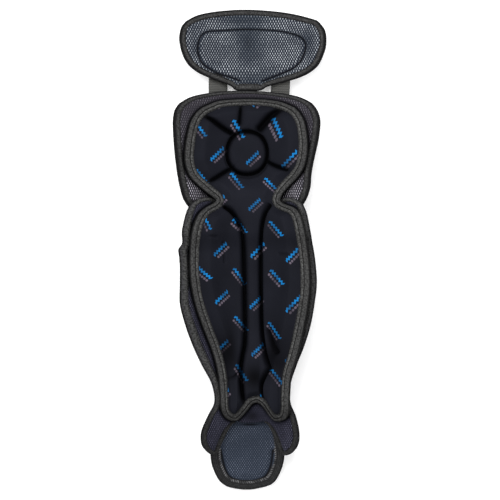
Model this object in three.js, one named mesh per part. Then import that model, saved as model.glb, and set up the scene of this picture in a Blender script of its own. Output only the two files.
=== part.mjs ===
// A catcher's leg guard, lying on its hard shells with the padded inner side up.
// x runs across the leg, +y towards the thigh and +z away from the ground, in millimetres.
// Left and right are as seen from the padded side. y = 0 is at the waist while the pieces
// are made, and the last step moves the origin to the middle of the footprint.
//
// Every layer follows one curved form, a trough that holds the shin and dips round the
// kneecap. Shells lie under the form and pads above it, each at its own height off it.

import * as THREE from "three";

// Lengths along the leg. The waist is the narrow place between the knee and shin pads.
const THIGH_LENGTH = 112;
const KNEE_LENGTH = 152;
const SHIN_LENGTH = 350;
const INSTEP_LENGTH = 129;
const TOE_REACH = 48;
const THIGH_GAP = 0.6;

// Widths over the widest place of each pad.
const THIGH_WIDTH = 196;
const KNEE_WIDTH = 194;
const CALF_WIDTH = 178;
const ANKLE_WIDTH = 128;
const INSTEP_WIDTH = 97;
const LINER_KNEE_WIDTH = KNEE_WIDTH * 0.856;
const LINER_CALF_WIDTH = CALF_WIDTH * 0.909;

// How far the sides of the trough rise above its bottom line.
const THIGH_DEPTH = 34;
const KNEE_DEPTH = 60;
const CALF_DEPTH = 60;
const ANKLE_DEPTH = 42;
const INSTEP_DEPTH = 13;

// How far the bottom line stands off the ground where no shell rests on it.
const THIGH_TOP_LIFT = 8;
const KNEE_TOP_LIFT = 8;
const WAIST_LIFT = 10;
const SHIN_LIFT = 13;
const TOE_LIFT = 2;
const KEEL_WIDTH = 28;

// Thicknesses.
const SHELL_WALL = 3;
const PAD_THICKNESS = 8;
const PAD_EDGE = 5;
const THIGH_PANEL_RAISE = 3;
const INSTEP_PAD_THICKNESS = 8;
const INSTEP_PANEL_RAISE = 2.5;
const LINER_EDGE = 5;
const LINER_THICKNESS = 15;
const LINER_IN_GROOVE = 8;
const WEBBING_THICKNESS = 2;

// Edge tape, webbing, rivets and the grooves between cushions.
const TAPE = { width: 9, thickness: 6 };
const LINER_TAPE = { width: 10, thickness: 7 };
const WEBBING_WIDTH = 25.4;
const STRAP_HOLD = 20;
const RIVET_DIAMETER = 11;
const RIVET_HEIGHT = 2;
const GROOVE_WIDTH = 18;
const KNEE_DISC_DIAMETER = 59;

// Clearances: between layers, and between a tape and the pad edge inside it.
const LAYER_GAP = 1.2;
const EDGE_GAP = 0.95;
const RIVETED_GAP = 0.5;
const RIVET_CLEARANCE = 0.4;
const LINER_CLEARANCE = 0.4;
const PAD_EASE = 16;
const CUSHION_EASE = 14;

const kneeY = (share) => KNEE_LENGTH * (1 - share);
const shinY = (share) => -SHIN_LENGTH * share;
const thighY = (share) => KNEE_LENGTH + THIGH_GAP + THIGH_LENGTH * (1 - share);
const instepY = (share) => INSTEP_LENGTH * (1 - share) - SHIN_LENGTH - TOE_REACH;

// The form, a row for each section: the height of its bottom line, the half width at
// which its sides have risen by `rise`, and that rise.
const SHELL_SEAT = SHELL_WALL + LAYER_GAP;
const INSTEP_SEAT = SHELL_SEAT + INSTEP_PAD_THICKNESS + LAYER_GAP;
const FORM = [
  { y: instepY(1), keel: INSTEP_SEAT + TOE_LIFT, half: INSTEP_WIDTH / 2, rise: INSTEP_DEPTH },
  { y: instepY(0.85), keel: INSTEP_SEAT, half: INSTEP_WIDTH / 2, rise: INSTEP_DEPTH * 1.1 },
  { y: instepY(0.55), keel: INSTEP_SEAT, half: INSTEP_WIDTH / 2, rise: INSTEP_DEPTH * 1.3 },
  { y: shinY(0.92), keel: SHELL_SEAT + SHIN_LIFT * 0.9, half: ANKLE_WIDTH / 2, rise: ANKLE_DEPTH * 0.75 },
  { y: shinY(0.78), keel: SHELL_SEAT + SHIN_LIFT, half: ANKLE_WIDTH / 2, rise: ANKLE_DEPTH },
  { y: shinY(0.55), keel: SHELL_SEAT + SHIN_LIFT, half: CALF_WIDTH * 0.44, rise: CALF_DEPTH * 0.92 },
  { y: shinY(0.28), keel: SHELL_SEAT + SHIN_LIFT, half: CALF_WIDTH / 2, rise: CALF_DEPTH },
  { y: shinY(0), keel: SHELL_SEAT + WAIST_LIFT, half: KNEE_WIDTH * 0.48, rise: KNEE_DEPTH },
  { y: kneeY(0.65), keel: SHELL_SEAT, half: KNEE_WIDTH / 2, rise: KNEE_DEPTH },
  { y: kneeY(0.42), keel: SHELL_SEAT, half: KNEE_WIDTH / 2, rise: KNEE_DEPTH * 0.96 },
  { y: kneeY(0), keel: SHELL_SEAT + KNEE_TOP_LIFT, half: KNEE_WIDTH / 2, rise: KNEE_DEPTH * 0.72 },
  { y: thighY(0.56), keel: SHELL_SEAT, half: THIGH_WIDTH / 2, rise: THIGH_DEPTH },
  { y: thighY(0.34), keel: SHELL_SEAT, half: THIGH_WIDTH / 2, rise: THIGH_DEPTH },
  { y: thighY(0), keel: SHELL_SEAT + THIGH_TOP_LIFT, half: THIGH_WIDTH / 2, rise: THIGH_DEPTH * 0.9 },
];

// A smooth curve through one column of a table whose rows run up in `along`, which
// doesn't overshoot its rows.
function through(rows, along, column) {
  const x = rows.map((row) => row[along]);
  const v = rows.map((row) => row[column]);
  const slope = v.slice(1).map((_, i) => (v[i + 1] - v[i]) / (x[i + 1] - x[i]));
  const tangent = v.map((_, i) => {
    if (i === 0) return slope[0];
    if (i === v.length - 1) return slope[i - 1];
    const [before, after] = [slope[i - 1], slope[i]];
    return before * after <= 0 ? 0 : (2 * before * after) / (before + after);
  });
  return (at) => {
    let i = 0;
    while (i < x.length - 2 && at > x[i + 1]) i += 1;
    const span = x[i + 1] - x[i];
    const t = Math.min(1, Math.max(0, (at - x[i]) / span));
    const turn = (1 - t) * tangent[i] - t * tangent[i + 1];
    const ends = v[i] * (1 - t) + v[i + 1] * t;
    return ends + t * (1 - t) * (turn * span + (2 * t - 1) * (v[i + 1] - v[i]));
  };
}

const keel = through(FORM, "y", "keel");
const halfWidth = through(FORM, "y", "half");
const rise = through(FORM, "y", "rise");

// The bottom line is a flat strip, from whose edges the sides rise.
function formHeight(x, y) {
  const beyond = Math.max(0, Math.abs(x) - KEEL_WIDTH / 2);
  return keel(y) + rise(y) * (beyond / (halfWidth(y) - KEEL_WIDTH / 2)) ** 2;
}

function formNormal(x, y) {
  const step = 0.5;
  const dx = (formHeight(x + step, y) - formHeight(x - step, y)) / (2 * step);
  const dy = (formHeight(x, y + step) - formHeight(x, y - step)) / (2 * step);
  return new THREE.Vector3(-dx, -dy, 1).normalize();
}

// The point at a height off the form, measured square to it, over the form's (x, y).
function lifted(x, y, height) {
  const point = new THREE.Vector3(x, y, formHeight(x, y));
  return point.addScaledVector(formNormal(x, y), height);
}

// Where on the form to stand, so that the point at a height off it is seen at (x, y) from
// straight above.
function standing(x, y, height) {
  let [px, py] = [x, y];
  for (let round = 0; round < 8; round += 1) {
    const normal = formNormal(px, py);
    [px, py] = [x - normal.x * height, y - normal.y * height];
  }
  return { x: px, y: py };
}

const smooth = (t) => {
  const s = Math.min(1, Math.max(0, t));
  return s * s * (3 - 2 * s);
};
const round = (t) => Math.sqrt(1 - (1 - Math.min(1, Math.max(0, t))) ** 2);
const mix = (a, b, t) => a * (1 - t) + b * t;

// The heights of the layers off the form. The shin pad's upper end rides over the knee
// pad's lower end, and the liner over both.
const OVERLAP_END = 0.115;
const OVERLAP_RAMP = 0.09;
const LAYER = PAD_THICKNESS + LAYER_GAP;
const overKnee = (y) => 1 - smooth((-y / SHIN_LENGTH - OVERLAP_END) / OVERLAP_RAMP);
const overShin = (y) => smooth((kneeY(0.8) - y) / (KNEE_LENGTH * 0.18));
const kneePadBottom = () => 0;
const shinPadBottom = (y) => LAYER * overKnee(y);
const linerBottom = (y) => LAYER + (LAYER + LINER_CLEARANCE) * overKnee(y) * overShin(y);
const instepPadBottom = () => -LAYER_GAP - INSTEP_PAD_THICKNESS;

// Outlines as seen from above. `at` is a share of the length that place() turns into y;
// left and right, and across, are shares of a half width; tape is a share of the width of
// the edge tape there.
const THIGH_OUTLINE = {
  columns: 12,
  place: thighY,
  half: () => THIGH_WIDTH / 2,
  sides: [
    { at: 0.17, left: 0.87, right: 0.98, tape: 0.9 },
    { at: 0.27, left: 0.93, right: 1.04, tape: 0.95 },
    { at: 0.38, left: 0.94, right: 1.06, tape: 0.95 },
    { at: 0.5, left: 0.92, right: 1.05, tape: 0.95 },
    { at: 0.6, left: 0.88, right: 1.0, tape: 0.95 },
    { at: 0.7, left: 0.8, right: 0.92, tape: 0.9 },
    { at: 0.78, left: 0.68, right: 0.81, tape: 0.9 },
    { at: 0.84, left: 0.54, right: 0.67, tape: 0.9 },
    { at: 0.89, left: 0.4, right: 0.5, tape: 0.9 },
    { at: 0.93, left: 0.28, right: 0.35, tape: 0.9 },
    { at: 0.97, left: 0.21, right: 0.25, tape: 0.9 },
  ],
  head: [
    { across: -0.73, at: 0.08, tape: 0.85 },
    { across: -0.48, at: 0.026, tape: 0.8 },
    { across: -0.2, at: 0.004, tape: 0.8 },
    { across: 0.1, at: 0, tape: 0.8 },
    { across: 0.42, at: 0.025, tape: 0.8 },
    { across: 0.7, at: 0.07, tape: 0.85 },
    { across: 0.87, at: 0.12, tape: 0.9 },
  ],
  foot: [
    { across: -0.13, at: 0.995, tape: 0.9 },
    { across: 0.02, at: 1, tape: 0.9 },
    { across: 0.17, at: 0.995, tape: 0.9 },
  ],
};
const KNEE_OUTLINE = {
  columns: 16,
  place: kneeY,
  half: () => KNEE_WIDTH / 2,
  sides: [
    { at: 0.12, left: 0.93, right: 0.86, tape: 1 },
    { at: 0.2, left: 1, right: 0.95, tape: 1 },
    { at: 0.3, left: 1.015, right: 0.985, tape: 1 },
    { at: 0.45, left: 1.01, right: 0.95, tape: 1 },
    { at: 0.6, left: 0.99, right: 0.9, tape: 1 },
    { at: 0.75, left: 0.96, right: 0.855, tape: 1 },
    { at: 0.88, left: 0.92, right: 0.835, tape: 1 },
    { at: 1.0, left: 0.86, right: 0.77, tape: 0.9 },
    { at: 1.1, left: 0.74, right: 0.66, tape: 0.9 },
    { at: 1.18, left: 0.56, right: 0.5, tape: 0.9 },
  ],
  head: [
    { across: -0.7, at: 0.035, tape: 0.8 },
    { across: -0.4, at: 0.007, tape: 0.7 },
    { across: 0, at: 0, tape: 0.6 },
    { across: 0.4, at: 0.018, tape: 0.7 },
    { across: 0.7, at: 0.055, tape: 0.8 },
  ],
  foot: [
    { across: -0.3, at: 1.23, tape: 0.9 },
    { across: 0, at: 1.245, tape: 0.9 },
    { across: 0.3, at: 1.23, tape: 0.9 },
  ],
};
const SHIN_OUTLINE = {
  columns: 14,
  place: shinY,
  half: () => CALF_WIDTH / 2,
  sides: [
    { at: 0.01, left: 0.84, right: 0.79, tape: 0.8 },
    { at: 0.045, left: 0.9, right: 0.845, tape: 0.95 },
    { at: 0.12, left: 0.965, right: 0.905, tape: 1.1 },
    { at: 0.165, left: 0.985, right: 0.935, tape: 1.2 },
    { at: 0.19, left: 1.02, right: 0.955, tape: 1.2 },
    { at: 0.22, left: 1.01, right: 0.972, tape: 1.2 },
    { at: 0.25, left: 1, right: 0.985, tape: 1.2 },
    { at: 0.32, left: 0.998, right: 1, tape: 1.2 },
    { at: 0.4, left: 0.995, right: 0.965, tape: 1.2 },
    { at: 0.48, left: 0.945, right: 0.91, tape: 1.3 },
    { at: 0.56, left: 0.84, right: 0.825, tape: 1.3 },
    { at: 0.64, left: 0.71, right: 0.705, tape: 1.2 },
    { at: 0.72, left: 0.535, right: 0.61, tape: 1 },
    { at: 0.79, left: 0.495, right: 0.595, tape: 0.8 },
    { at: 0.84, left: 0.575, right: 0.655, tape: 0.7 },
    { at: 0.9, left: 0.675, right: 0.735, tape: 0.7 },
    { at: 0.945, left: 0.69, right: 0.735, tape: 0.7 },
    { at: 0.98, left: 0.62, right: 0.67, tape: 0.7 },
    { at: 0.997, left: 0.53, right: 0.57, tape: 0.65 },
  ],
  head: [
    { across: -0.72, at: -0.009, tape: 0.8 },
    { across: -0.55, at: -0.012, tape: 0.7 },
    { across: -0.3, at: 0.02, tape: 0.7 },
    { across: 0, at: 0.035, tape: 0.7 },
    { across: 0.3, at: 0.02, tape: 0.7 },
    { across: 0.53, at: -0.01, tape: 0.7 },
    { across: 0.68, at: -0.008, tape: 0.8 },
  ],
  foot: [
    { across: -0.43, at: 0.985, tape: 0.7 },
    { across: -0.365, at: 0.955, tape: 0.7 },
    { across: -0.29, at: 0.91, tape: 0.65 },
    { across: -0.22, at: 0.875, tape: 0.45 },
    { across: -0.1, at: 0.87, tape: 0 },
    { across: 0.02, at: 0.872, tape: 0 },
    { across: 0.15, at: 0.87, tape: 0 },
    { across: 0.27, at: 0.875, tape: 0.45 },
    { across: 0.345, at: 0.91, tape: 0.65 },
    { across: 0.41, at: 0.955, tape: 0.7 },
    { across: 0.47, at: 0.988, tape: 0.7 },
  ],
};
const INSTEP_OUTLINE = {
  columns: 10,
  place: instepY,
  half: () => INSTEP_WIDTH / 2,
  sides: [
    { at: 0.04, left: 0.35, right: 0.42, tape: 0.8 },
    { at: 0.15, left: 0.57, right: 0.59, tape: 0.8 },
    { at: 0.3, left: 0.8, right: 0.78, tape: 0.9 },
    { at: 0.45, left: 0.97, right: 0.91, tape: 0.95 },
    { at: 0.62, left: 1.02, right: 0.975, tape: 1 },
    { at: 0.72, left: 0.99, right: 0.945, tape: 1.05 },
    { at: 0.81, left: 0.92, right: 0.875, tape: 1.1 },
    { at: 0.89, left: 0.81, right: 0.76, tape: 1.15 },
    { at: 0.94, left: 0.68, right: 0.64, tape: 1.2 },
  ],
  head: [
    { across: -0.15, at: 0.008, tape: 0.8 },
    { across: 0.22, at: 0.008, tape: 0.8 },
  ],
  foot: [
    { across: -0.52, at: 0.974, tape: 1.2 },
    { across: -0.29, at: 0.994, tape: 1.2 },
    { across: -0.03, at: 1, tape: 1.2 },
    { across: 0.23, at: 0.992, tape: 1.2 },
    { across: 0.45, at: 0.972, tape: 1.2 },
  ],
};
// The liner runs over both knee and shin, so each row says which of them it is on.
const LINER_OUTLINE = {
  columns: 20,
  place: (at, row) => (row.on === "knee" ? kneeY(at) : shinY(at)),
  half: (row) => (row.on === "knee" ? LINER_KNEE_WIDTH : LINER_CALF_WIDTH) / 2,
  sides: [
    { on: "knee", at: 0.15, left: 0.76, right: 0.765, tape: 0.95 },
    { on: "knee", at: 0.2, left: 0.85, right: 0.84, tape: 1 },
    { on: "knee", at: 0.28, left: 0.93, right: 0.91, tape: 1 },
    { on: "knee", at: 0.4, left: 0.99, right: 0.955, tape: 1 },
    { on: "knee", at: 0.53, left: 1.025, right: 0.965, tape: 1 },
    { on: "knee", at: 0.64, left: 1.03, right: 0.94, tape: 1 },
    { on: "knee", at: 0.72, left: 1.0, right: 0.89, tape: 1 },
    { on: "knee", at: 0.8, left: 0.93, right: 0.79, tape: 1 },
    { on: "knee", at: 0.87, left: 0.8, right: 0.665, tape: 1 },
    { on: "knee", at: 0.935, left: 0.66, right: 0.565, tape: 1 },
    { on: "knee", at: 0.975, left: 0.565, right: 0.53, tape: 1 },
    { on: "knee", at: 1.0, left: 0.53, right: 0.525, tape: 1 },
    { on: "shin", at: 0.012, left: 0.6, right: 0.6, tape: 1 },
    { on: "shin", at: 0.03, left: 0.73, right: 0.775, tape: 1 },
    { on: "shin", at: 0.055, left: 0.83, right: 0.86, tape: 1 },
    { on: "shin", at: 0.1, left: 0.91, right: 0.915, tape: 1 },
    { on: "shin", at: 0.17, left: 0.96, right: 0.97, tape: 1 },
    { on: "shin", at: 0.21, left: 0.968, right: 0.992, tape: 1 },
    { on: "shin", at: 0.25, left: 0.97, right: 1.01, tape: 1 },
    { on: "shin", at: 0.33, left: 0.945, right: 1.02, tape: 1 },
    { on: "shin", at: 0.41, left: 0.875, right: 0.985, tape: 1 },
    { on: "shin", at: 0.5, left: 0.745, right: 0.915, tape: 1 },
    { on: "shin", at: 0.6, left: 0.585, right: 0.815, tape: 1 },
    { on: "shin", at: 0.68, left: 0.5, right: 0.71, tape: 0.95 },
    { on: "shin", at: 0.76, left: 0.465, right: 0.68, tape: 0.9 },
    { on: "shin", at: 0.82, left: 0.45, right: 0.675, tape: 0.8 },
    { on: "shin", at: 0.85, left: 0.385, right: 0.635, tape: 0.7 },
    { on: "shin", at: 0.863, left: 0.29, right: 0.53, tape: 0.6 },
  ],
  head: [
    { on: "knee", across: -0.5, at: 0.082, tape: 0.9 },
    { on: "knee", across: -0.25, at: 0.063, tape: 0.85 },
    { on: "knee", across: 0.02, at: 0.058, tape: 0.85 },
    { on: "knee", across: 0.31, at: 0.065, tape: 0.85 },
    { on: "knee", across: 0.56, at: 0.095, tape: 0.9 },
  ],
  foot: [
    { on: "shin", across: -0.19, at: 0.862, tape: 0.55 },
    { on: "shin", across: -0.1, at: 0.845, tape: 0.55 },
    { on: "shin", across: 0, at: 0.818, tape: 0.55 },
    { on: "shin", across: 0.07, at: 0.798, tape: 0.55 },
    { on: "shin", across: 0.14, at: 0.792, tape: 0.55 },
    { on: "shin", across: 0.22, at: 0.8, tape: 0.55 },
    { on: "shin", across: 0.3, at: 0.822, tape: 0.55 },
    { on: "shin", across: 0.38, at: 0.846, tape: 0.55 },
    { on: "shin", across: 0.45, at: 0.861, tape: 0.55 },
  ],
};

// Hard shells are plain plates, well inside the pads that they carry.
const THIGH_SHELL_OUTLINE = {
  columns: 12,
  place: thighY,
  half: () => THIGH_WIDTH / 2,
  sides: [
    { at: 0.26, left: 0.68, right: 0.8 },
    { at: 0.34, left: 0.75, right: 0.87 },
    { at: 0.45, left: 0.77, right: 0.89 },
    { at: 0.56, left: 0.75, right: 0.87 },
    { at: 0.7, left: 0.66, right: 0.76 },
    { at: 0.82, left: 0.52, right: 0.62 },
  ],
  head: [
    { across: -0.35, at: 0.155 },
    { across: 0.06, at: 0.13 },
    { across: 0.46, at: 0.165 },
  ],
  foot: [
    { across: -0.26, at: 0.89 },
    { across: 0.04, at: 0.9 },
    { across: 0.34, at: 0.89 },
  ],
};
const KNEE_SHELL_OUTLINE = {
  columns: 14,
  place: kneeY,
  half: () => KNEE_WIDTH / 2,
  sides: [
    { at: 0.19, left: 0.74, right: 0.7 },
    { at: 0.32, left: 0.87, right: 0.83 },
    { at: 0.48, left: 0.88, right: 0.82 },
    { at: 0.64, left: 0.83, right: 0.77 },
    { at: 0.8, left: 0.74, right: 0.68 },
    { at: 0.92, left: 0.62, right: 0.58 },
    { at: 1.0, left: 0.48, right: 0.45 },
  ],
  head: [
    { across: -0.42, at: 0.105 },
    { across: 0, at: 0.085 },
    { across: 0.42, at: 0.11 },
  ],
  foot: [
    { across: -0.22, at: 1.045 },
    { across: 0, at: 1.055 },
    { across: 0.22, at: 1.045 },
  ],
};
const SHIN_SHELL_OUTLINE = {
  columns: 10,
  place: shinY,
  half: () => CALF_WIDTH / 2,
  sides: [
    { at: 0, left: 0.58, right: 0.56 },
    { at: 0.06, left: 0.7, right: 0.68 },
    { at: 0.15, left: 0.79, right: 0.77 },
    { at: 0.28, left: 0.83, right: 0.82 },
    { at: 0.4, left: 0.8, right: 0.79 },
    { at: 0.52, left: 0.68, right: 0.68 },
    { at: 0.63, left: 0.52, right: 0.54 },
    { at: 0.72, left: 0.4, right: 0.46 },
  ],
  head: [
    { across: -0.27, at: -0.026 },
    { across: 0, at: -0.03 },
    { across: 0.27, at: -0.026 },
  ],
  foot: [
    { across: -0.2, at: 0.75 },
    { across: 0.03, at: 0.76 },
    { across: 0.26, at: 0.75 },
  ],
};
const INSTEP_SHELL_OUTLINE = {
  columns: 8,
  place: instepY,
  half: () => INSTEP_WIDTH / 2,
  sides: [
    { at: -0.23, left: 0.72, right: 0.8 },
    { at: -0.1, left: 0.7, right: 0.76 },
    { at: 0.1, left: 0.56, right: 0.6 },
    { at: 0.35, left: 0.66, right: 0.66 },
    { at: 0.6, left: 0.78, right: 0.75 },
    { at: 0.78, left: 0.7, right: 0.67 },
    { at: 0.87, left: 0.52, right: 0.49 },
  ],
  head: [{ across: 0.04, at: -0.26 }],
  foot: [
    { across: -0.26, at: 0.9 },
    { across: -0.02, at: 0.91 },
    { across: 0.22, at: 0.9 },
  ],
};

// A smooth line through table points, as close points: few on straight stretches and more
// where it turns. steps gives the points of each stretch.
const LONGEST_STEP = 0.069 * SHIN_LENGTH;
const SHARPEST_TURN = THREE.MathUtils.degToRad(40);

function stepsOf(points) {
  const curve = new THREE.CatmullRomCurve3(points.map((p) => new THREE.Vector3(p.x, p.y, 0)));
  const last = points.length - 1;
  return points.slice(1).map((point, i) => {
    const length = Math.hypot(point.x - points[i].x, point.y - points[i].y);
    const turn = curve.getTangent(i / last).angleTo(curve.getTangent((i + 1) / last));
    return Math.max(1, Math.ceil(length / LONGEST_STEP), Math.ceil(turn / SHARPEST_TURN));
  });
}

function lineThrough(points, steps) {
  const last = points.length - 1;
  const curve = new THREE.CatmullRomCurve3(points.map((p) => new THREE.Vector3(p.x, p.y, p.tape)));
  const found = [];
  for (let i = 0; i < last; i += 1)
    for (let k = 0; k < steps[i]; k += 1) found.push(curve.getPoint((i + k / steps[i]) / last));
  found.push(curve.getPoint(1));
  return found.map((p) => ({ x: p.x, y: p.y, tape: p.z }));
}

// The four sides of an outline as lines of points. left and right run down the leg, head
// and foot run across it, and all share their corners.
function sidesOf(outline) {
  const at = (row, across) => ({
    x: across * outline.half(row),
    y: outline.place(row.at, row),
    tape: row.tape ?? 0,
  });
  const left = outline.sides.map((row) => at(row, -row.left));
  const right = outline.sides.map((row) => at(row, row.right));
  const across = (rows, i) => [
    left.at(i),
    ...rows.map((row) => at(row, row.across)),
    right.at(i),
  ];
  const head = across(outline.head, 0);
  const foot = across(outline.foot, -1);
  const rightSteps = stepsOf(right);
  const down = stepsOf(left).map((steps, i) => Math.max(steps, rightSteps[i]));
  const evenly = (line) => spaced(lineThrough(line, line.slice(1).map(() => 12)), outline.columns);
  return {
    left: lineThrough(left, down),
    right: lineThrough(right, down),
    head: evenly(head),
    foot: evenly(foot),
  };
}

// The same line cut into a number of even steps.
function spaced(line, steps) {
  const reach = [0];
  for (let i = 1; i < line.length; i += 1)
    reach.push(reach[i - 1] + Math.hypot(line[i].x - line[i - 1].x, line[i].y - line[i - 1].y));
  return Array.from({ length: steps + 1 }, (_, k) => {
    const wanted = (reach.at(-1) * k) / steps;
    let i = 1;
    while (i < line.length - 1 && reach[i] < wanted) i += 1;
    const t = (wanted - reach[i - 1]) / (reach[i] - reach[i - 1]);
    return {
      x: mix(line[i - 1].x, line[i].x, t),
      y: mix(line[i - 1].y, line[i].y, t),
      tape: mix(line[i - 1].tape, line[i].tape, t),
    };
  });
}

// One closed ring of points: down the left, across the foot, up the right, back over the head.
function ringOf({ left, right, head, foot }) {
  return [
    ...left.slice(0, -1),
    ...foot.slice(0, -1),
    ...right.slice(1).reverse(),
    ...head.slice(1).reverse(),
  ];
}

// The ring with each point moved inwards by inset(point).
function shrunk(ring, inset) {
  const count = ring.length;
  return ring.map((point, i) => {
    const before = ring[(i + count - 1) % count];
    const after = ring[(i + 1) % count];
    const length = Math.hypot(after.x - before.x, after.y - before.y);
    const inwards = { x: (before.y - after.y) / length, y: (after.x - before.x) / length };
    const distance = inset(point);
    return { ...point, x: point.x + inwards.x * distance, y: point.y + inwards.y * distance };
  });
}

// The four sides again from a ring that was shrunk.
function sidesFrom(ring, { left, foot }) {
  const down = left.length - 1;
  const across = foot.length - 1;
  const part = (from, count) =>
    Array.from({ length: count + 1 }, (_, i) => ring[(from + i) % ring.length]);
  return {
    left: part(0, down),
    foot: part(down, across),
    right: part(down + across, down).reverse(),
    head: part(2 * down + across, across).reverse(),
  };
}

// A grid of points between four sides, by Coons' rule. rows run down the leg.
function gridBetween({ left, right, head, foot }) {
  const down = left.length - 1;
  const across = head.length - 1;
  const blend = (axis, i, j) => {
    const [v, u] = [i / down, j / across];
    const ruled =
      mix(head[j][axis], foot[j][axis], v) + mix(left[i][axis], right[i][axis], u);
    const corners = mix(
      mix(head[0][axis], head[across][axis], u),
      mix(foot[0][axis], foot[across][axis], u),
      v,
    );
    return ruled - corners;
  };
  return left.map((_, i) => head.map((__, j) => ({ x: blend("x", i, j), y: blend("y", i, j) })));
}

function distanceToRing(point, ring) {
  let least = Infinity;
  ring.forEach((a, i) => {
    const b = ring[(i + 1) % ring.length];
    const [ex, ey] = [b.x - a.x, b.y - a.y];
    const along = ((point.x - a.x) * ex + (point.y - a.y) * ey) / (ex * ex + ey * ey || 1);
    const t = Math.min(1, Math.max(0, along));
    least = Math.min(least, Math.hypot(point.x - a.x - t * ex, point.y - a.y - t * ey));
  });
  return least;
}

// A closed solid from two grids of 3-D points, with walls round their edges.
function solidBetween(top, bottom) {
  const rows = top.length;
  const columns = top[0].length;
  const positions = [];
  const face = (a, b, c, d) => {
    for (const p of [a, b, c, a, c, d]) positions.push(p.x, p.y, p.z);
  };
  for (let i = 0; i < rows - 1; i += 1)
    for (let j = 0; j < columns - 1; j += 1) {
      face(top[i][j], top[i + 1][j], top[i + 1][j + 1], top[i][j + 1]);
      face(bottom[i][j], bottom[i][j + 1], bottom[i + 1][j + 1], bottom[i + 1][j]);
    }
  const edge = [];
  for (let i = 0; i < rows - 1; i += 1) edge.push([i, 0]);
  for (let j = 0; j < columns - 1; j += 1) edge.push([rows - 1, j]);
  for (let i = rows - 1; i > 0; i -= 1) edge.push([i, columns - 1]);
  for (let j = columns - 1; j > 0; j -= 1) edge.push([0, j]);
  edge.forEach(([i, j], k) => {
    const [ni, nj] = edge[(k + 1) % edge.length];
    face(top[i][j], bottom[i][j], bottom[ni][nj], top[ni][nj]);
  });
  return new THREE.BufferGeometry().setAttribute(
    "position",
    new THREE.Float32BufferAttribute(positions, 3),
  );
}

// A sheet over the grid of a ring's sides. bottom(y) and top(point, distance from the
// ring) are heights off the form, and seen is the height at which the ring is drawn.
function sheet(sides, bottom, top, seen) {
  const ring = ringOf(sides);
  const grid = gridBetween(sides);
  const at = (height) =>
    grid.map((row) =>
      row.map((p) => {
        const base = bottom(p.y);
        const stand = standing(p.x, p.y, base + seen);
        return lifted(stand.x, stand.y, base + height(p));
      }),
    );
  return solidBetween(
    at((p) => top(p, distanceToRing(p, ring))),
    at(() => 0),
  );
}

const eased = (edge, full, ease) => (point, distance) =>
  mix(edge, full, round(distance / ease));

// A pad inside its edge tape.
function padInside(outline, { width, thickness }, bottom, top) {
  const sides = sidesOf(outline);
  const inner = shrunk(ringOf(sides), (p) => p.tape * width + EDGE_GAP);
  return sheet(sidesFrom(inner, sides), bottom, top, thickness);
}

// The tape round a pad, a flattened bar whose section is a row for each corner: inwards
// from the edge and upwards, as shares of the tape's width and thickness.
const NARROWEST_TAPE = 0.3;
const TAPE_SECTION = [
  { inwards: 0, up: 0.45 },
  { inwards: 0.25, up: 1 },
  { inwards: 1, up: 0.9 },
  { inwards: 1, up: 0 },
  { inwards: 0.25, up: 0 },
];

// A stretch of the outline with no width of tape is left bare.
function tapeAround(outline, { width, thickness }, bottom) {
  const ring = ringOf(sidesOf(outline));
  const lines = TAPE_SECTION.map(({ inwards, up }) =>
    shrunk(ring, (p) => p.tape * width * inwards).map((p) => {
      const base = bottom(p.y);
      const stand = standing(p.x, p.y, base + thickness);
      return lifted(stand.x, stand.y, base + up * thickness);
    }),
  );
  const taped = ring.map((p) => p.tape >= NARROWEST_TAPE);
  const first = taped.findIndex((on, i) => on && !taped[(i + ring.length - 1) % ring.length]);
  const open = first >= 0;
  const start = Math.max(0, first);
  const count = taped.filter((on) => on).length;
  const stations = Array.from({ length: count }, (_, i) =>
    lines.map((line) => line[(start + i) % ring.length]),
  );
  if (!open) stations.push(stations[0]);
  return barThrough(stations, open);
}

// A bar through sections of equal corner count, with flat ends if it is open.
function barThrough(stations, open) {
  const positions = [];
  const corners = stations[0].length;
  const triangle = (...points) => points.forEach((p) => positions.push(p.x, p.y, p.z));
  stations.slice(1).forEach((next, i) => {
    const here = stations[i];
    for (let k = 0; k < corners; k += 1) {
      const m = (k + 1) % corners;
      triangle(here[k], next[m], here[m]);
      triangle(here[k], next[k], next[m]);
    }
  });
  if (open) {
    const [start, end] = [stations[0], stations.at(-1)];
    for (let k = 1; k < corners - 1; k += 1) {
      triangle(start[0], start[k], start[k + 1]);
      triangle(end[0], end[k + 1], end[k]);
    }
  }
  return new THREE.BufferGeometry().setAttribute(
    "position",
    new THREE.Float32BufferAttribute(positions, 3),
  );
}

// The liner's cushions: raised everywhere but in the grooves, which are lines of points.
const KNEE_DISC = { x: -0.01 * KNEE_WIDTH, y: kneeY(0.55) };
const onKnee = (across, at) => ({ x: (across * LINER_KNEE_WIDTH) / 2, y: kneeY(at) });
const onShin = (across, at) => ({ x: (across * LINER_CALF_WIDTH) / 2, y: shinY(at) });
const KNEE_GROOVES = [
  [onKnee(-0.12, 0.12), onKnee(-0.15, 0.29)],
  [onKnee(-0.76, 0.23), onKnee(-0.3, 0.39)],
  [onKnee(0.57, 0.16), onKnee(0.2, 0.34)],
  [onKnee(0.33, 0.64), onKnee(0.68, 0.73)],
  [onKnee(-0.28, 0.71), onKnee(-0.66, 0.83)],
];
const SHIN_GROOVES = [
  [
    onShin(-0.44, 0.025),
    onShin(-0.19, 0.08),
    onShin(-0.09, 0.15),
    onShin(-0.06, 0.4),
    onShin(-0.06, 0.56),
    onShin(-0.13, 0.66),
    onShin(-0.07, 0.79),
  ],
  [
    onShin(0.4, 0.02),
    onShin(0.26, 0.1),
    onShin(0.225, 0.24),
    onShin(0.26, 0.5),
    onShin(0.44, 0.655),
    onShin(0.28, 0.72),
    onShin(0.27, 0.8),
  ],
];

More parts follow.
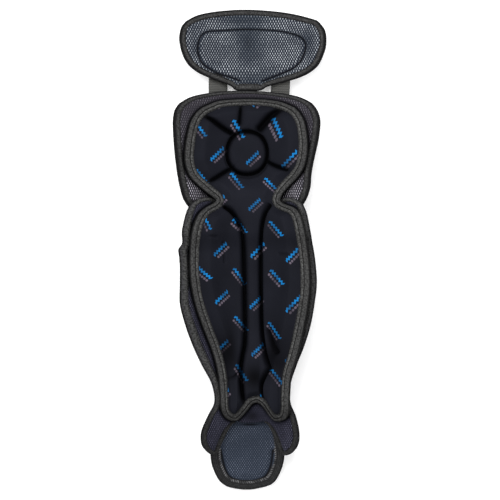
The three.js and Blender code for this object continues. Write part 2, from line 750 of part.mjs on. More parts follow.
function distanceToLine(point, line) {
  return Math.min(
    ...line.slice(1).map((b, i) => {
      const a = line[i];
      const [ex, ey] = [b.x - a.x, b.y - a.y];
      const along = ((point.x - a.x) * ex + (point.y - a.y) * ey) / (ex * ex + ey * ey);
      const t = Math.min(1, Math.max(0, along));
      return Math.hypot(point.x - a.x - t * ex, point.y - a.y - t * ey);
    }),
  );
}

function cushionHeight(point, distance) {
  const grooves = [...KNEE_GROOVES, ...SHIN_GROOVES];
  const nearest = Math.min(...grooves.map((line) => distanceToLine(point, line)));
  const fromDisc = Math.hypot(point.x - KNEE_DISC.x, point.y - KNEE_DISC.y);
  const toDiscEdge = Math.abs(fromDisc - KNEE_DISC_DIAMETER / 2);
  const clear = smooth(Math.min(nearest, toDiscEdge) / (GROOVE_WIDTH / 2));
  const full = mix(LINER_IN_GROOVE, LINER_THICKNESS, clear);
  return mix(LINER_EDGE, full, round(distance / CUSHION_EASE));
}

// Pads, with a panel raised inside an embossed line on thigh and instep.
const panelled = (thickness, raise, inset) => (point, distance) => {
  const pad = mix(PAD_EDGE, thickness - raise, round(distance / PAD_EASE));
  return pad + raise * smooth((distance - inset) / PANEL_STEP);
};
const PANEL_INSET = 14;
const PANEL_STEP = 6;
const THIGH_PAD = panelled(PAD_THICKNESS + THIGH_PANEL_RAISE, THIGH_PANEL_RAISE, PANEL_INSET);
const INSTEP_PAD = panelled(INSTEP_PAD_THICKNESS, INSTEP_PANEL_RAISE, PANEL_INSET / 2);
const PLAIN_PAD = eased(PAD_EDGE, PAD_THICKNESS, PAD_EASE);

// Shells are of one thickness. The shin shell's upper end dips under the knee shell, and
// the instep shell's upper end rises to the shin shell.
const DIP_START = 0.12;
const DIP_RAMP = 0.09;
const CLIMB_RAMP = 0.11;
const UNDER_SHELL = SHELL_SEAT + LAYER_GAP + SHELL_WALL;
const ON_INSTEP_RIVETS = SHELL_SEAT + RIVETED_GAP + SHELL_WALL;
const shinShellBottom = (y) =>
  -mix(SHELL_SEAT, UNDER_SHELL, smooth((y / SHIN_LENGTH + DIP_START) / DIP_RAMP));
const instepShellBottom = (y) =>
  -mix(INSTEP_SEAT, ON_INSTEP_RIVETS, smooth((y - instepY(0)) / (INSTEP_LENGTH * CLIMB_RAMP)));
const shell = (outline, bottom) => sheet(sidesOf(outline), bottom, () => SHELL_WALL, 0);

const fabric = (color, roughness = 0.9) => new THREE.MeshStandardMaterial({ color, roughness });
const MATERIALS = {
  mesh: fabric(0x2f3746),
  tape: fabric(0x484846),
  liner: fabric(0x1b1b22, 0.8),
  webbing: fabric(0x4c4c4e),
  shell: new THREE.MeshStandardMaterial({ color: 0x26262a, roughness: 0.45 }),
  rivet: new THREE.MeshStandardMaterial({ color: 0x8c8e92, roughness: 0.35, metalness: 1 }),
};

const group = new THREE.Group();
function add(name, geometry, material) {
  geometry.computeVertexNormals();
  const mesh = new THREE.Mesh(geometry, material);
  mesh.name = name;
  group.add(mesh);
}

const pieces = [
  ["thigh", THIGH_OUTLINE, kneePadBottom, THIGH_PAD],
  ["knee", KNEE_OUTLINE, kneePadBottom, PLAIN_PAD],
  ["shin", SHIN_OUTLINE, shinPadBottom, PLAIN_PAD],
  ["instep", INSTEP_OUTLINE, instepPadBottom, INSTEP_PAD],
];
for (const [name, outline, bottom, top] of pieces) {
  add(`${name}_pad`, padInside(outline, TAPE, bottom, top), MATERIALS.mesh);
  add(`${name}_tape`, tapeAround(outline, TAPE, bottom), MATERIALS.tape);
}
add("liner", padInside(LINER_OUTLINE, LINER_TAPE, linerBottom, cushionHeight), MATERIALS.liner);
add("liner_tape", tapeAround(LINER_OUTLINE, LINER_TAPE, linerBottom), MATERIALS.tape);

const plainBottom = () => -SHELL_SEAT;
add("thigh_shell", shell(THIGH_SHELL_OUTLINE, plainBottom), MATERIALS.shell);
add("knee_shell", shell(KNEE_SHELL_OUTLINE, plainBottom), MATERIALS.shell);
add("shin_shell", shell(SHIN_SHELL_OUTLINE, shinShellBottom), MATERIALS.shell);
add("instep_shell", shell(INSTEP_SHELL_OUTLINE, instepShellBottom), MATERIALS.shell);

// A strap joins thigh shell and knee shell along their fronts. Its rows are its ends.
const STRAPS = [
  { name: "left", thighX: -0.205 * THIGH_WIDTH, kneeX: -0.203 * KNEE_WIDTH },
  { name: "right", thighX: 0.225 * THIGH_WIDTH, kneeX: 0.203 * KNEE_WIDTH },
];
const STRAP_ENDS = { thigh: thighY(0.9) + STRAP_HOLD, knee: kneeY(0.11) - STRAP_HOLD };
const STRAP_ROWS = 7;
const strapTop = -SHELL_SEAT - LAYER_GAP;
const strapX = (strap, y) =>
  mix(strap.kneeX, strap.thighX, (y - STRAP_ENDS.knee) / (STRAP_ENDS.thigh - STRAP_ENDS.knee));
for (const strap of STRAPS) {
  const rows = Array.from({ length: STRAP_ROWS + 1 }, (_, i) => {
    const y = mix(STRAP_ENDS.thigh, STRAP_ENDS.knee, i / STRAP_ROWS);
    return [-0.5, 0, 0.5].map((across) => ({ x: strapX(strap, y) + across * WEBBING_WIDTH, y }));
  });
  const at = (height) => rows.map((row) => row.map((p) => lifted(p.x, p.y, height)));
  add(
    `thigh_strap_${strap.name}`,
    solidBetween(at(strapTop), at(strapTop - WEBBING_THICKNESS)),
    MATERIALS.webbing,
  );
}

// Rivet heads, on the front of what they hold: a strap, or the shell that lies lowest.
const strapRivet = (strap, end, hold) => {
  const y = STRAP_ENDS[end] - hold * STRAP_HOLD * 0.4;
  return { x: strapX(strap, y), y, on: strapTop - WEBBING_THICKNESS };
};
const shellRivet = (x, y, bottom) => ({ x, y, on: bottom(y) });
const RIVETS = [
  { name: "rivet_thigh_left", ...strapRivet(STRAPS[0], "thigh", 1) },
  { name: "rivet_thigh_right", ...strapRivet(STRAPS[1], "thigh", 1) },
  { name: "rivet_knee_left", ...strapRivet(STRAPS[0], "knee", -1) },
  { name: "rivet_knee_right", ...strapRivet(STRAPS[1], "knee", -1) },
  { name: "rivet_waist_left", ...shellRivet(-0.24 * KNEE_WIDTH, kneeY(0.98), shinShellBottom) },
  { name: "rivet_waist_right", ...shellRivet(0.24 * KNEE_WIDTH, kneeY(0.98), shinShellBottom) },
  { name: "rivet_instep_left", ...shellRivet(-0.24 * INSTEP_WIDTH, instepY(-0.19), instepShellBottom) },
  { name: "rivet_instep_right", ...shellRivet(0.28 * INSTEP_WIDTH, instepY(-0.19), instepShellBottom) },
];
const RIVET_PROFILE = [
  { radius: 1, down: 0 },
  { radius: 1, down: 0.35 },
  { radius: 0.6, down: 1 },
];
for (const { name, x, y, on } of RIVETS) {
  const profile = RIVET_PROFILE.map(
    ({ radius, down }) => new THREE.Vector2((radius * RIVET_DIAMETER) / 2, -down * RIVET_HEIGHT),
  );
  const outer = new THREE.Vector2(0, profile.at(-1).y);
  const head = new THREE.LatheGeometry([outer, ...profile.reverse(), new THREE.Vector2(0, 0)], 12);
  const normal = formNormal(x, y);
  const seat = lifted(x, y, on - RIVET_CLEARANCE);
  head.applyQuaternion(new THREE.Quaternion().setFromUnitVectors(new THREE.Vector3(0, 1, 0), normal));
  add(name, head.translate(seat.x, seat.y, seat.z), MATERIALS.rivet);
}

// The part's own frame: on the ground, in the middle of the footprint.
const box = new THREE.Box3().setFromObject(group);
const middle = box.getCenter(new THREE.Vector3());
group.position.set(-middle.x, -middle.y, -box.min.z);

export default group;
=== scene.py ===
# %% [markdown]
# # A catcher's leg guard
# A leg guard is a stack of thin things that all follow one trough-shaped form: hard plastic
# shells in front, mesh-faced foam pads behind them, and a moulded cushion liner on top. This
# lesson rebuilds the soft layers finely over the plain CAD solids. x runs across the leg, y
# towards the thigh and z up from the floor, and all sizes are in millimetres until a mesh is
# made.

import math

import bpy
import numpy as np
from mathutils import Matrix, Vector


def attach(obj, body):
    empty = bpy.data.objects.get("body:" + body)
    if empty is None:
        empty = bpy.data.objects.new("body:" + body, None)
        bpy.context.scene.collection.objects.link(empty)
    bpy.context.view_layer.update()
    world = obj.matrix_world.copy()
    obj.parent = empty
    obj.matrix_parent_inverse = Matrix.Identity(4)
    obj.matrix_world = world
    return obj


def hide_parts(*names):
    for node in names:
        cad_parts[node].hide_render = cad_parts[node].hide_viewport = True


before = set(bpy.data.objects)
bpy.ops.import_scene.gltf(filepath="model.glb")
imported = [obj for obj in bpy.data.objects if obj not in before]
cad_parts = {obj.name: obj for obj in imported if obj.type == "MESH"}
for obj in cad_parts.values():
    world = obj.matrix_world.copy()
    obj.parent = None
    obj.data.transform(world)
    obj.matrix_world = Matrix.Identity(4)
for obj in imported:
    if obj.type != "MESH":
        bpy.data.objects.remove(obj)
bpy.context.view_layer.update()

# %% [markdown]
# ## The form
# Every layer is a height off one surface: a trough with a flat keel whose sides rise as a
# parabola. A short table of sections gives its height, its half width and how far the sides
# rise there. A cubic that doesn't overshoot joins the rows, so the bottom line stays flat
# where the shells rest on the floor.

# %% Sizes along and across the leg
MM = 0.001
THIGH_LENGTH, KNEE_LENGTH, SHIN_LENGTH, INSTEP_LENGTH = 112, 152, 350, 129
TOE_REACH, THIGH_GAP = 48, 0.6
THIGH_WIDTH, KNEE_WIDTH, CALF_WIDTH, ANKLE_WIDTH, INSTEP_WIDTH = 196, 194, 178, 128, 97
LINER_KNEE_WIDTH, LINER_CALF_WIDTH = KNEE_WIDTH * 0.856, CALF_WIDTH * 0.909
LAYER_GAP, SHELL_SEAT, PAD, PAD_EDGE = 1.2, 4.2, 8.0, 5.0
INSTEP_PAD = 8.0
KEEL_WIDTH = 28
THIGH_RISE, KNEE_RISE, ANKLE_RISE, INSTEP_RISE = 34, 60, 42, 13
SHIN_LIFT, WAIST_LIFT, END_LIFT = 13, 10, 8
# The waist of the guard lies at y = 0 in the tables below, and here in the CAD frame.
WAIST_AT = (-2.474, 66.873)


def knee_y(share):
    """y at a share of the knee pad's length, counted from its upper end."""
    return KNEE_LENGTH * (1 - share)


def shin_y(share):
    return -SHIN_LENGTH * share


def thigh_y(share):
    return KNEE_LENGTH + THIGH_GAP + THIGH_LENGTH * (1 - share)


def instep_y(share):
    return INSTEP_LENGTH * (1 - share) - SHIN_LENGTH - TOE_REACH


print("knee pad from y", knee_y(1), "to", knee_y(0), "and thigh pad up to", thigh_y(0))

# %% The sections of the form
INSTEP_SEAT = SHELL_SEAT + INSTEP_PAD + LAYER_GAP
# Columns: y, height of the bottom line, half width, rise of the sides.
FORM = np.array([
    (instep_y(1), INSTEP_SEAT + 2, INSTEP_WIDTH / 2, INSTEP_RISE),
    (instep_y(0.85), INSTEP_SEAT, INSTEP_WIDTH / 2, INSTEP_RISE * 1.1),
    (instep_y(0.55), INSTEP_SEAT, INSTEP_WIDTH / 2, INSTEP_RISE * 1.3),
    (shin_y(0.92), SHELL_SEAT + SHIN_LIFT * 0.9, ANKLE_WIDTH / 2, ANKLE_RISE * 0.75),
    (shin_y(0.78), SHELL_SEAT + SHIN_LIFT, ANKLE_WIDTH / 2, ANKLE_RISE),
    (shin_y(0.55), SHELL_SEAT + SHIN_LIFT, CALF_WIDTH * 0.44, KNEE_RISE * 0.92),
    (shin_y(0.28), SHELL_SEAT + SHIN_LIFT, CALF_WIDTH / 2, KNEE_RISE),
    (shin_y(0), SHELL_SEAT + WAIST_LIFT, KNEE_WIDTH * 0.48, KNEE_RISE),
    (knee_y(0.65), SHELL_SEAT, KNEE_WIDTH / 2, KNEE_RISE),
    (knee_y(0.42), SHELL_SEAT, KNEE_WIDTH / 2, KNEE_RISE * 0.96),
    (knee_y(0), SHELL_SEAT + END_LIFT, KNEE_WIDTH / 2, KNEE_RISE * 0.72),
    (thigh_y(0.56), SHELL_SEAT, THIGH_WIDTH / 2, THIGH_RISE),
    (thigh_y(0.34), SHELL_SEAT, THIGH_WIDTH / 2, THIGH_RISE),
    (thigh_y(0), SHELL_SEAT + END_LIFT, THIGH_WIDTH / 2, THIGH_RISE * 0.9),
])
print("form:", len(FORM), "sections from y", FORM[0, 0], "to", FORM[-1, 0])


# %% Curves through the sections
def through(x, v):
    """A smooth curve through table values that doesn't overshoot them."""
    slope = np.diff(v) / np.diff(x)
    tangent = np.empty(len(v))
    tangent[0], tangent[-1] = slope[0], slope[-1]
    before, after = slope[:-1], slope[1:]
    same_way = before * after > 0
    total = np.where(same_way, before + after, 1)
    tangent[1:-1] = np.where(same_way, 2 * before * after / total, 0)

    def at(y):
        i = np.clip(np.searchsorted(x, y) - 1, 0, len(x) - 2)
        span = x[i + 1] - x[i]
        t = np.clip((y - x[i]) / span, 0, 1)
        turn = (1 - t) * tangent[i] - t * tangent[i + 1]
        ends = v[i] * (1 - t) + v[i + 1] * t
        return ends + t * (1 - t) * (turn * span + (2 * t - 1) * (v[i + 1] - v[i]))

    return at


keel = through(FORM[:, 0], FORM[:, 1])
half_width = through(FORM[:, 0], FORM[:, 2])
rise = through(FORM[:, 0], FORM[:, 3])
print("bottom line at the waist and the calf:", keel(np.array([0.0, shin_y(0.28)])))


# %% Points off the form
def form_height(x, y):
    """Height of the trough: flat over the keel, and a parabola beyond it."""
    beyond = np.maximum(0, np.abs(x) - KEEL_WIDTH / 2)
    return keel(y) + rise(y) * (beyond / (half_width(y) - KEEL_WIDTH / 2)) ** 2


def form_normal(x, y):
    step = 0.5  # mm
    dx = (form_height(x + step, y) - form_height(x - step, y)) / (2 * step)
    dy = (form_height(x, y + step) - form_height(x, y - step)) / (2 * step)
    size = np.sqrt(dx * dx + dy * dy + 1)
    return np.stack([-dx / size, -dy / size, 1 / size], axis=-1)


def lifted(x, y, height):
    """The point that stands a height off the form, square to it."""
    base = np.stack([x, y, form_height(x, y)], axis=-1)
    return base + form_normal(x, y) * np.asarray(height)[..., None]


def standing(x, y, height):
    """Where to stand on the form so that a lifted point is seen at (x, y) from above."""
    px, py = np.array(x, float), np.array(y, float)
    for _ in range(8):
        normal = form_normal(px, py)
        px, py = x - normal[..., 0] * height, y - normal[..., 1] * height
    return px, py


def across_form(x, y):
    """Length along the form from the keel to x, so that cloth patterns keep their scale."""
    k = rise(y) / (half_width(y) - KEEL_WIDTH / 2) ** 2
    beyond = np.maximum(0, np.abs(x) - KEEL_WIDTH / 2)
    slope = 2 * k * beyond
    arc = beyond * np.sqrt(1 + slope**2) / 2 + np.arcsinh(slope) / (4 * k)
    return np.sign(x) * (np.minimum(np.abs(x), KEEL_WIDTH / 2) + arc)


def smooth(t):
    s = np.clip(t, 0, 1)
    return s * s * (3 - 2 * s)


def round_over(t):
    return np.sqrt(1 - (1 - np.clip(t, 0, 1)) ** 2)


def mix(a, b, t):
    return a * (1 - t) + b * t


calf_arc = across_form(CALF_WIDTH / 2, shin_y(0.28))
print(f"from keel to edge at the calf: {calf_arc:.1f} mm along the form")

# %% Heights of the layers off the form
LAYER = PAD + LAYER_GAP
LINER_CLEARANCE = 0.4
# Shares of a pad's length: where an overlap begins, and how soon it is complete.
LIFT_BEGINS, LIFT_LENGTH = 0.115, 0.09
UNDER_BEGINS, UNDER_LENGTH = 0.8, 0.18


def over_knee(y):
    """1 where the shin pad rides over the knee pad, and 0 further down."""
    return 1 - smooth((-y / SHIN_LENGTH - LIFT_BEGINS) / LIFT_LENGTH)


def over_shin(y):
    """1 where the liner has the shin pad under it, and 0 up on the knee pad."""
    return smooth((knee_y(UNDER_BEGINS) - y) / (KNEE_LENGTH * UNDER_LENGTH))


def flat_bottom(y):
    return 0 * y


def shin_bottom(y):
    return LAYER * over_knee(y)


def liner_bottom(y):
    return LAYER + (LAYER + LINER_CLEARANCE) * over_knee(y) * over_shin(y)


def instep_bottom(y):
    return 0 * y - LAYER_GAP - INSTEP_PAD


print("liner stands", liner_bottom(np.array([0.0, shin_y(0.5)])), "mm up at waist and calf")

# %% [markdown]
# ## Outlines
# Each pad's outline is read from above: how far its left and right edges stand out at a share
# of its length, and the points of its head and foot. The tape column is the share of the edge
# tape's width there. A curve through the rows gives a close ring of points.

# %% Outlines of the thigh and knee pads
# Columns of sides: at, left, right, tape. Columns of head and foot: across, at, tape.
OUTLINES = {}
OUTLINES["thigh"] = {
    "place": lambda at, on: thigh_y(at),
    "half": lambda on: THIGH_WIDTH / 2,
    "sides": [
        (0.16, 0.84, 0.935, 0.9), (0.19, 0.872, 0.97, 0.9), (0.23, 0.905, 1.006, 0.9),
        (0.285, 0.927, 1.042, 0.95), (0.38, 0.94, 1.06, 0.95),
        (0.5, 0.92, 1.05, 0.95), (0.6, 0.88, 1.01, 0.95), (0.7, 0.8, 0.945, 0.9),
        (0.78, 0.68, 0.84, 0.9), (0.84, 0.54, 0.705, 0.95), (0.89, 0.4, 0.53, 1),
        (0.93, 0.28, 0.35, 0.9), (0.965, 0.215, 0.24, 0.9), (0.985, 0.205, 0.215, 0.9),
    ],
    "head": [
        (-0.7, 0.093, 1), (-0.47, 0.044, 1), (-0.2, 0.019, 1), (-0.03, 0.014, 1),
        (0.33, 0.034, 1), (0.58, 0.068, 1), (0.79, 0.116, 1),
    ],
    "foot": [(-0.15, 1.006, 1.3), (0.02, 1.008, 1.35), (0.16, 1.006, 1.3)],
}
OUTLINES["knee"] = {
    "place": lambda at, on: knee_y(at),
    "half": lambda on: KNEE_WIDTH / 2,
    "sides": [
        (0.12, 0.93, 0.865, 0.95), (0.155, 0.972, 0.907, 1), (0.2, 1.003, 0.945, 1),
        (0.28, 1.02, 0.975, 1), (0.45, 1.01, 0.95, 1), (0.6, 0.99, 0.9, 1),
        (0.75, 0.96, 0.855, 1), (0.88, 0.92, 0.835, 1.0), (1.0, 0.86, 0.77, 0.9),
        (1.1, 0.74, 0.66, 0.9), (1.18, 0.56, 0.5, 0.9),
    ],
    "head": [
        (-0.82, 0.074, 0.85), (-0.7, 0.045, 0.8), (-0.4, 0.01, 0.7), (0, 0, 0.6),
        (0.4, 0.021, 0.7), (0.67, 0.056, 0.8), (0.79, 0.09, 0.85),
    ],
    "foot": [(-0.3, 1.23, 0.9), (0, 1.245, 0.9), (0.3, 1.23, 0.9)],
}
print("outlines:", list(OUTLINES))

# %% Outlines of the shin and instep pads
OUTLINES["shin"] = {
    "place": lambda at, on: shin_y(at),
    "half": lambda on: CALF_WIDTH / 2,
    "sides": [
        (0.01, 0.84, 0.79, 0.8), (0.045, 0.9, 0.845, 0.95), (0.12, 0.965, 0.905, 1.1),
        (0.165, 0.965, 0.935, 1.2), (0.19, 1.02, 0.955, 1.2), (0.22, 1.01, 0.972, 1.2),
        (0.25, 1, 0.985, 1.2), (0.32, 0.998, 1, 1.2), (0.4, 0.995, 0.965, 1.2),
        (0.48, 0.92, 0.91, 1.3), (0.56, 0.812, 0.82, 1.3), (0.64, 0.672, 0.7, 1.2),
        (0.72, 0.52, 0.605, 1), (0.79, 0.485, 0.605, 0.85), (0.84, 0.575, 0.68, 0.7),
        (0.9, 0.675, 0.735, 0.75), (0.93, 0.69, 0.74, 0.75), (0.952, 0.672, 0.716, 0.8),
        (0.97, 0.642, 0.69, 0.85), (0.985, 0.598, 0.65, 0.9), (0.994, 0.552, 0.605, 0.9),
        (0.998, 0.52, 0.565, 0.9),
    ],
    "head": [
        (-0.72, -0.009, 0.8), (-0.55, -0.012, 0.7), (-0.3, 0.02, 0.7), (0, 0.035, 0.7),
        (0.3, 0.02, 0.7), (0.53, -0.01, 0.7), (0.68, -0.008, 0.8),
    ],
    "foot": [
        (-0.485, 0.998, 0.9), (-0.455, 0.99, 0.9), (-0.42, 0.972, 0.95), (-0.37, 0.942, 1),
        (-0.3, 0.905, 0.9), (-0.22, 0.875, 0.4), (-0.1, 0.87, 0), (0.02, 0.872, 0),
        (0.15, 0.87, 0), (0.27, 0.875, 0.4), (0.34, 0.905, 0.9), (0.4, 0.942, 1),
        (0.445, 0.97, 0.95), (0.48, 0.99, 0.9), (0.51, 0.998, 0.9),
    ],
}
OUTLINES["instep"] = {
    "place": lambda at, on: instep_y(at),
    "half": lambda on: INSTEP_WIDTH / 2,
    "sides": [
        (0.04, 0.35, 0.42, 0.9), (0.15, 0.57, 0.59, 0.9), (0.3, 0.8, 0.78, 1.1),
        (0.45, 0.97, 0.91, 1.45), (0.62, 1.02, 0.975, 1.5), (0.72, 0.99, 0.945, 1.5),
        (0.8, 0.925, 0.88, 1.5), (0.86, 0.855, 0.81, 1.5), (0.91, 0.77, 0.725, 1.5),
        (0.945, 0.665, 0.62, 1.45),
    ],
    "head": [(-0.15, 0.008, 0.8), (0.22, 0.008, 0.8)],
    "foot": [
        (-0.56, 0.968, 1.45), (-0.38, 0.986, 1.45), (-0.2, 0.997, 1.45), (-0.04, 1, 1.45),
        (0.12, 0.997, 1.45), (0.27, 0.986, 1.45), (0.47, 0.968, 1.45),
    ],
}
print("outlines:", list(OUTLINES))

# %% Outline of the liner
# Each row also says on which pad's length it is read.
OUTLINES["liner"] = {
    "place": lambda at, on: knee_y(at) if on == "knee" else shin_y(at),
    "half": lambda on: (LINER_KNEE_WIDTH if on == "knee" else LINER_CALF_WIDTH) / 2,
    "sides": [
        (0.16, 0.755, 0.76, 1, "knee"), (0.205, 0.845, 0.835, 1, "knee"),
        (0.28, 0.93, 0.91, 1, "knee"), (0.4, 0.99, 0.955, 1, "knee"),
        (0.53, 1.025, 0.965, 1, "knee"), (0.64, 1.03, 0.94, 1, "knee"),
        (0.72, 1.0, 0.89, 1, "knee"), (0.8, 0.93, 0.79, 1, "knee"),
        (0.87, 0.8, 0.665, 1, "knee"), (0.935, 0.66, 0.565, 1, "knee"),
        (0.975, 0.565, 0.53, 1, "knee"), (1.0, 0.53, 0.525, 1, "knee"),
        (0.012, 0.6, 0.6, 1, "shin"), (0.03, 0.73, 0.775, 1, "shin"),
        (0.055, 0.83, 0.86, 1, "shin"), (0.1, 0.91, 0.915, 1, "shin"),
        (0.17, 0.96, 0.97, 1, "shin"), (0.21, 0.968, 0.992, 1, "shin"),
        (0.25, 0.97, 1.01, 1, "shin"), (0.33, 0.945, 1.02, 1, "shin"),
        (0.41, 0.875, 0.985, 1, "shin"), (0.5, 0.745, 0.915, 1, "shin"),
        (0.6, 0.585, 0.815, 1, "shin"), (0.68, 0.5, 0.71, 0.95, "shin"),
        (0.76, 0.465, 0.68, 0.9, "shin"), (0.82, 0.45, 0.675, 0.95, "shin"),
        (0.85, 0.385, 0.635, 1.05, "shin"), (0.863, 0.29, 0.53, 1.05, "shin"),
    ],
    "head": [
        (-0.5, 0.1, 0.95, "knee"), (-0.25, 0.084, 0.9, "knee"),
        (0.02, 0.079, 0.9, "knee"), (0.31, 0.086, 0.9, "knee"),
        (0.56, 0.112, 0.95, "knee"),
    ],
    "foot": [
        (-0.19, 0.862, 1.05, "shin"), (-0.1, 0.845, 1.05, "shin"),
        (0, 0.818, 1.05, "shin"), (0.07, 0.798, 1.05, "shin"),
        (0.14, 0.792, 1.05, "shin"), (0.22, 0.8, 1.05, "shin"),
        (0.3, 0.822, 1.05, "shin"), (0.38, 0.846, 1.05, "shin"),
        (0.45, 0.861, 1.05, "shin"),
    ],
}
print("outlines:", list(OUTLINES))


# %% Curves through the tables
CURVE_STEPS = 24


def curve_through(points, steps):
    """A centripetal Catmull-Rom curve through points, with steps points on each stretch."""
    p = np.asarray(points, float)
    p = np.vstack([2 * p[0] - p[1], p, 2 * p[-1] - p[-2]])
    found = []
    for i in range(1, len(p) - 2):
        a, b, c, d = p[i - 1 : i + 3]
        gaps = [max(1e-6, np.linalg.norm(q - r)) ** 0.5 for q, r in ((b, a), (c, b), (d, c))]
        start = (b - a) / gaps[0] - (c - a) / (gaps[0] + gaps[1]) + (c - b) / gaps[1]
        end = (c - b) / gaps[1] - (d - b) / (gaps[1] + gaps[2]) + (d - c) / gaps[2]
        t = (np.arange(steps) / steps)[:, None]
        m0, m1 = start * gaps[1], end * gaps[1]
        found.append(
            b * (2 * t**3 - 3 * t**2 + 1)
            + m0 * (t**3 - 2 * t**2 + t)
            + c * (3 * t**2 - 2 * t**3)
            + m1 * (t**3 - t**2)
        )
    found.append(p[-2:-1])
    return np.vstack(found)


def evenly(line, steps):
    """The same line cut into a number of even steps."""
    steps_between = np.linalg.norm(np.diff(line[:, :2], axis=0), axis=1)
    reach = np.concatenate([[0], np.cumsum(steps_between)])
    wanted = np.linspace(0, reach[-1], steps + 1)
    return np.stack([np.interp(wanted, reach, line[:, k]) for k in range(line.shape[1])], axis=1)


def sides_of(name, down, across):
    """The four sides of an outline as lines of (x, y, tape)."""
    table = OUTLINES[name]

    def point(row, x_share, tape):
        on = row[-1] if isinstance(row[-1], str) else None
        return (x_share * table["half"](on), table["place"](row[0], on), tape)

    left = [point(row, -row[1], row[3]) for row in table["sides"]]
    right = [point(row, row[2], row[3]) for row in table["sides"]]

    def across_line(rows, i):
        inner = []
        for row in rows:
            on = row[-1] if isinstance(row[-1], str) else None
            x = row[0] * table["half"](on)
            inner.append((x, table["place"](row[1], on), row[2]))
        return evenly(curve_through([left[i], *inner, right[i]], CURVE_STEPS), across)

    return {
        "left": evenly(curve_through(left, CURVE_STEPS), down),
        "right": evenly(curve_through(right, CURVE_STEPS), down),
        "head": across_line(table["head"], 0),
        "foot": across_line(table["foot"], -1),
    }


def ring_of(sides):
    """One closed ring: down the left, across the foot, up the right, back over the head."""
    parts = [sides["left"][:-1], sides["foot"][:-1], sides["right"][:0:-1], sides["head"][:0:-1]]
    return np.vstack(parts)


print("knee pad: a ring of", len(ring_of(sides_of("knee", 130, 130))), "points")


# %% Rings moved inwards, grids between them, and distances
def shrunk(ring, inset):
    """The ring with each point moved inwards by its inset."""
    before, after = np.roll(ring, 1, axis=0), np.roll(ring, -1, axis=0)
    way = after[:, :2] - before[:, :2]
    way /= np.linalg.norm(way, axis=1)[:, None]
    inwards = np.stack([-way[:, 1], way[:, 0]], axis=1)
    moved = ring.copy()
    moved[:, :2] += inwards * np.asarray(inset)[:, None]
    return moved


def sides_from(ring, down, across):
    """A ring cut into its four sides again."""

    def part(start, count):
        return ring[(start + np.arange(count + 1)) % len(ring)]

    return {
        "left": part(0, down),
        "foot": part(down, across),
        "right": part(down + across, down)[::-1],
        "head": part(2 * down + across, across)[::-1],
    }


def grid_between(sides):
    """A grid of (x, y) between four sides, by Coons' rule, with rows running down the leg."""
    left, right = sides["left"][:, :2], sides["right"][:, :2]
    head, foot = sides["head"][:, :2], sides["foot"][:, :2]
    v = np.linspace(0, 1, len(left))[:, None, None]
    u = np.linspace(0, 1, len(head))[None, :, None]
    ruled = mix(head[None], foot[None], v) + mix(left[:, None], right[:, None], u)
    corners = mix(mix(head[0], head[-1], u), mix(foot[0], foot[-1], u), v)
    return ruled - corners


def distance_to_line(points, line):
    """The distance from each point to a line of points."""
    flat = points.reshape(-1, 2)
    least = np.full(len(flat), np.inf)
    for a, b in zip(line[:-1, :2], line[1:, :2]):
        edge = b - a
        t = np.clip((flat - a) @ edge / max(1e-9, edge @ edge), 0, 1)
        gap = flat - a - t[:, None] * edge
        least = np.minimum(least, np.einsum("ij,ij->i", gap, gap))
    return np.sqrt(least).reshape(points.shape[:-1])


trial = ring_of(sides_of("liner", 20, 10))
print("liner outline, roughly:", np.ptp(trial[:, :2], axis=0).round(), "mm")


# %% [markdown]
# ## Meshes from grids and rings
# A pad is a top grid and a bottom grid with a wall round them, and an edge tape is a section
# swept round the ring. Both get a UV map in metres along the cloth, so the mesh's loops and the
# tapes' knit keep their real scale on the steep sides.

# %% A piece from points and faces
def new_piece(name, points, faces, uvs, material, pressed=None):
    """A smooth mesh object from points in mm, with one UV for each point."""
    moved = np.asarray(points, float) + np.array([*WAIST_AT, 0.0])
    mesh = bpy.data.meshes.new(name)
    mesh.from_pydata((moved * MM).tolist(), [], faces)
    layer = mesh.uv_layers.new(name="cloth")
    corners = np.empty(len(mesh.loops), dtype=np.int64)
    mesh.loops.foreach_get("vertex_index", corners)
    layer.data.foreach_set("uv", (np.asarray(uvs, float) * MM)[corners].ravel())
    if pressed is not None:
        mesh.attributes.new("pressed", "FLOAT", "POINT").data.foreach_set("value", pressed)
    mesh.shade_smooth()
    mesh.update()
    piece = bpy.data.objects.new(name, mesh)
    bpy.context.collection.objects.link(piece)
    piece.data.materials.append(material)
    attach(piece, "root")
    print(f"{name}: {len(points)} points, {len(faces)} faces")
    return piece


# %% A solid from two grids
def grid_solid(top, bottom):
    """Points and faces of a closed solid from two grids."""
    rows, columns = top.shape[:2]
    index = np.arange(rows * columns).reshape(rows, columns)
    low = index + rows * columns
    a, b, c, d = index[:-1, :-1], index[1:, :-1], index[1:, 1:], index[:-1, 1:]
    faces = np.stack([a, b, c, d], axis=-1).reshape(-1, 4).tolist()
    a, b, c, d = low[:-1, :-1], low[:-1, 1:], low[1:, 1:], low[1:, :-1]
    faces += np.stack([a, b, c, d], axis=-1).reshape(-1, 4).tolist()
    ring = [*index[:-1, 0], *index[-1, :-1], *index[:0:-1, -1], *index[0, :0:-1]]
    for k, here in enumerate(ring):
        there = ring[(k + 1) % len(ring)]
        quad = (here, here + rows * columns, there + rows * columns, there)
        faces.append([int(corner) for corner in quad])
    return np.vstack([top.reshape(-1, 3), bottom.reshape(-1, 3)]), faces


smallest = np.zeros((2, 2, 3))
print("the smallest grid solid has", len(grid_solid(smallest, smallest)[1]), "faces")


# %% A pad inside its tape
PAD_INSET = 0.8  # share of the tape's width that lies outside the pad
PAD_CLEARANCE = 0.3


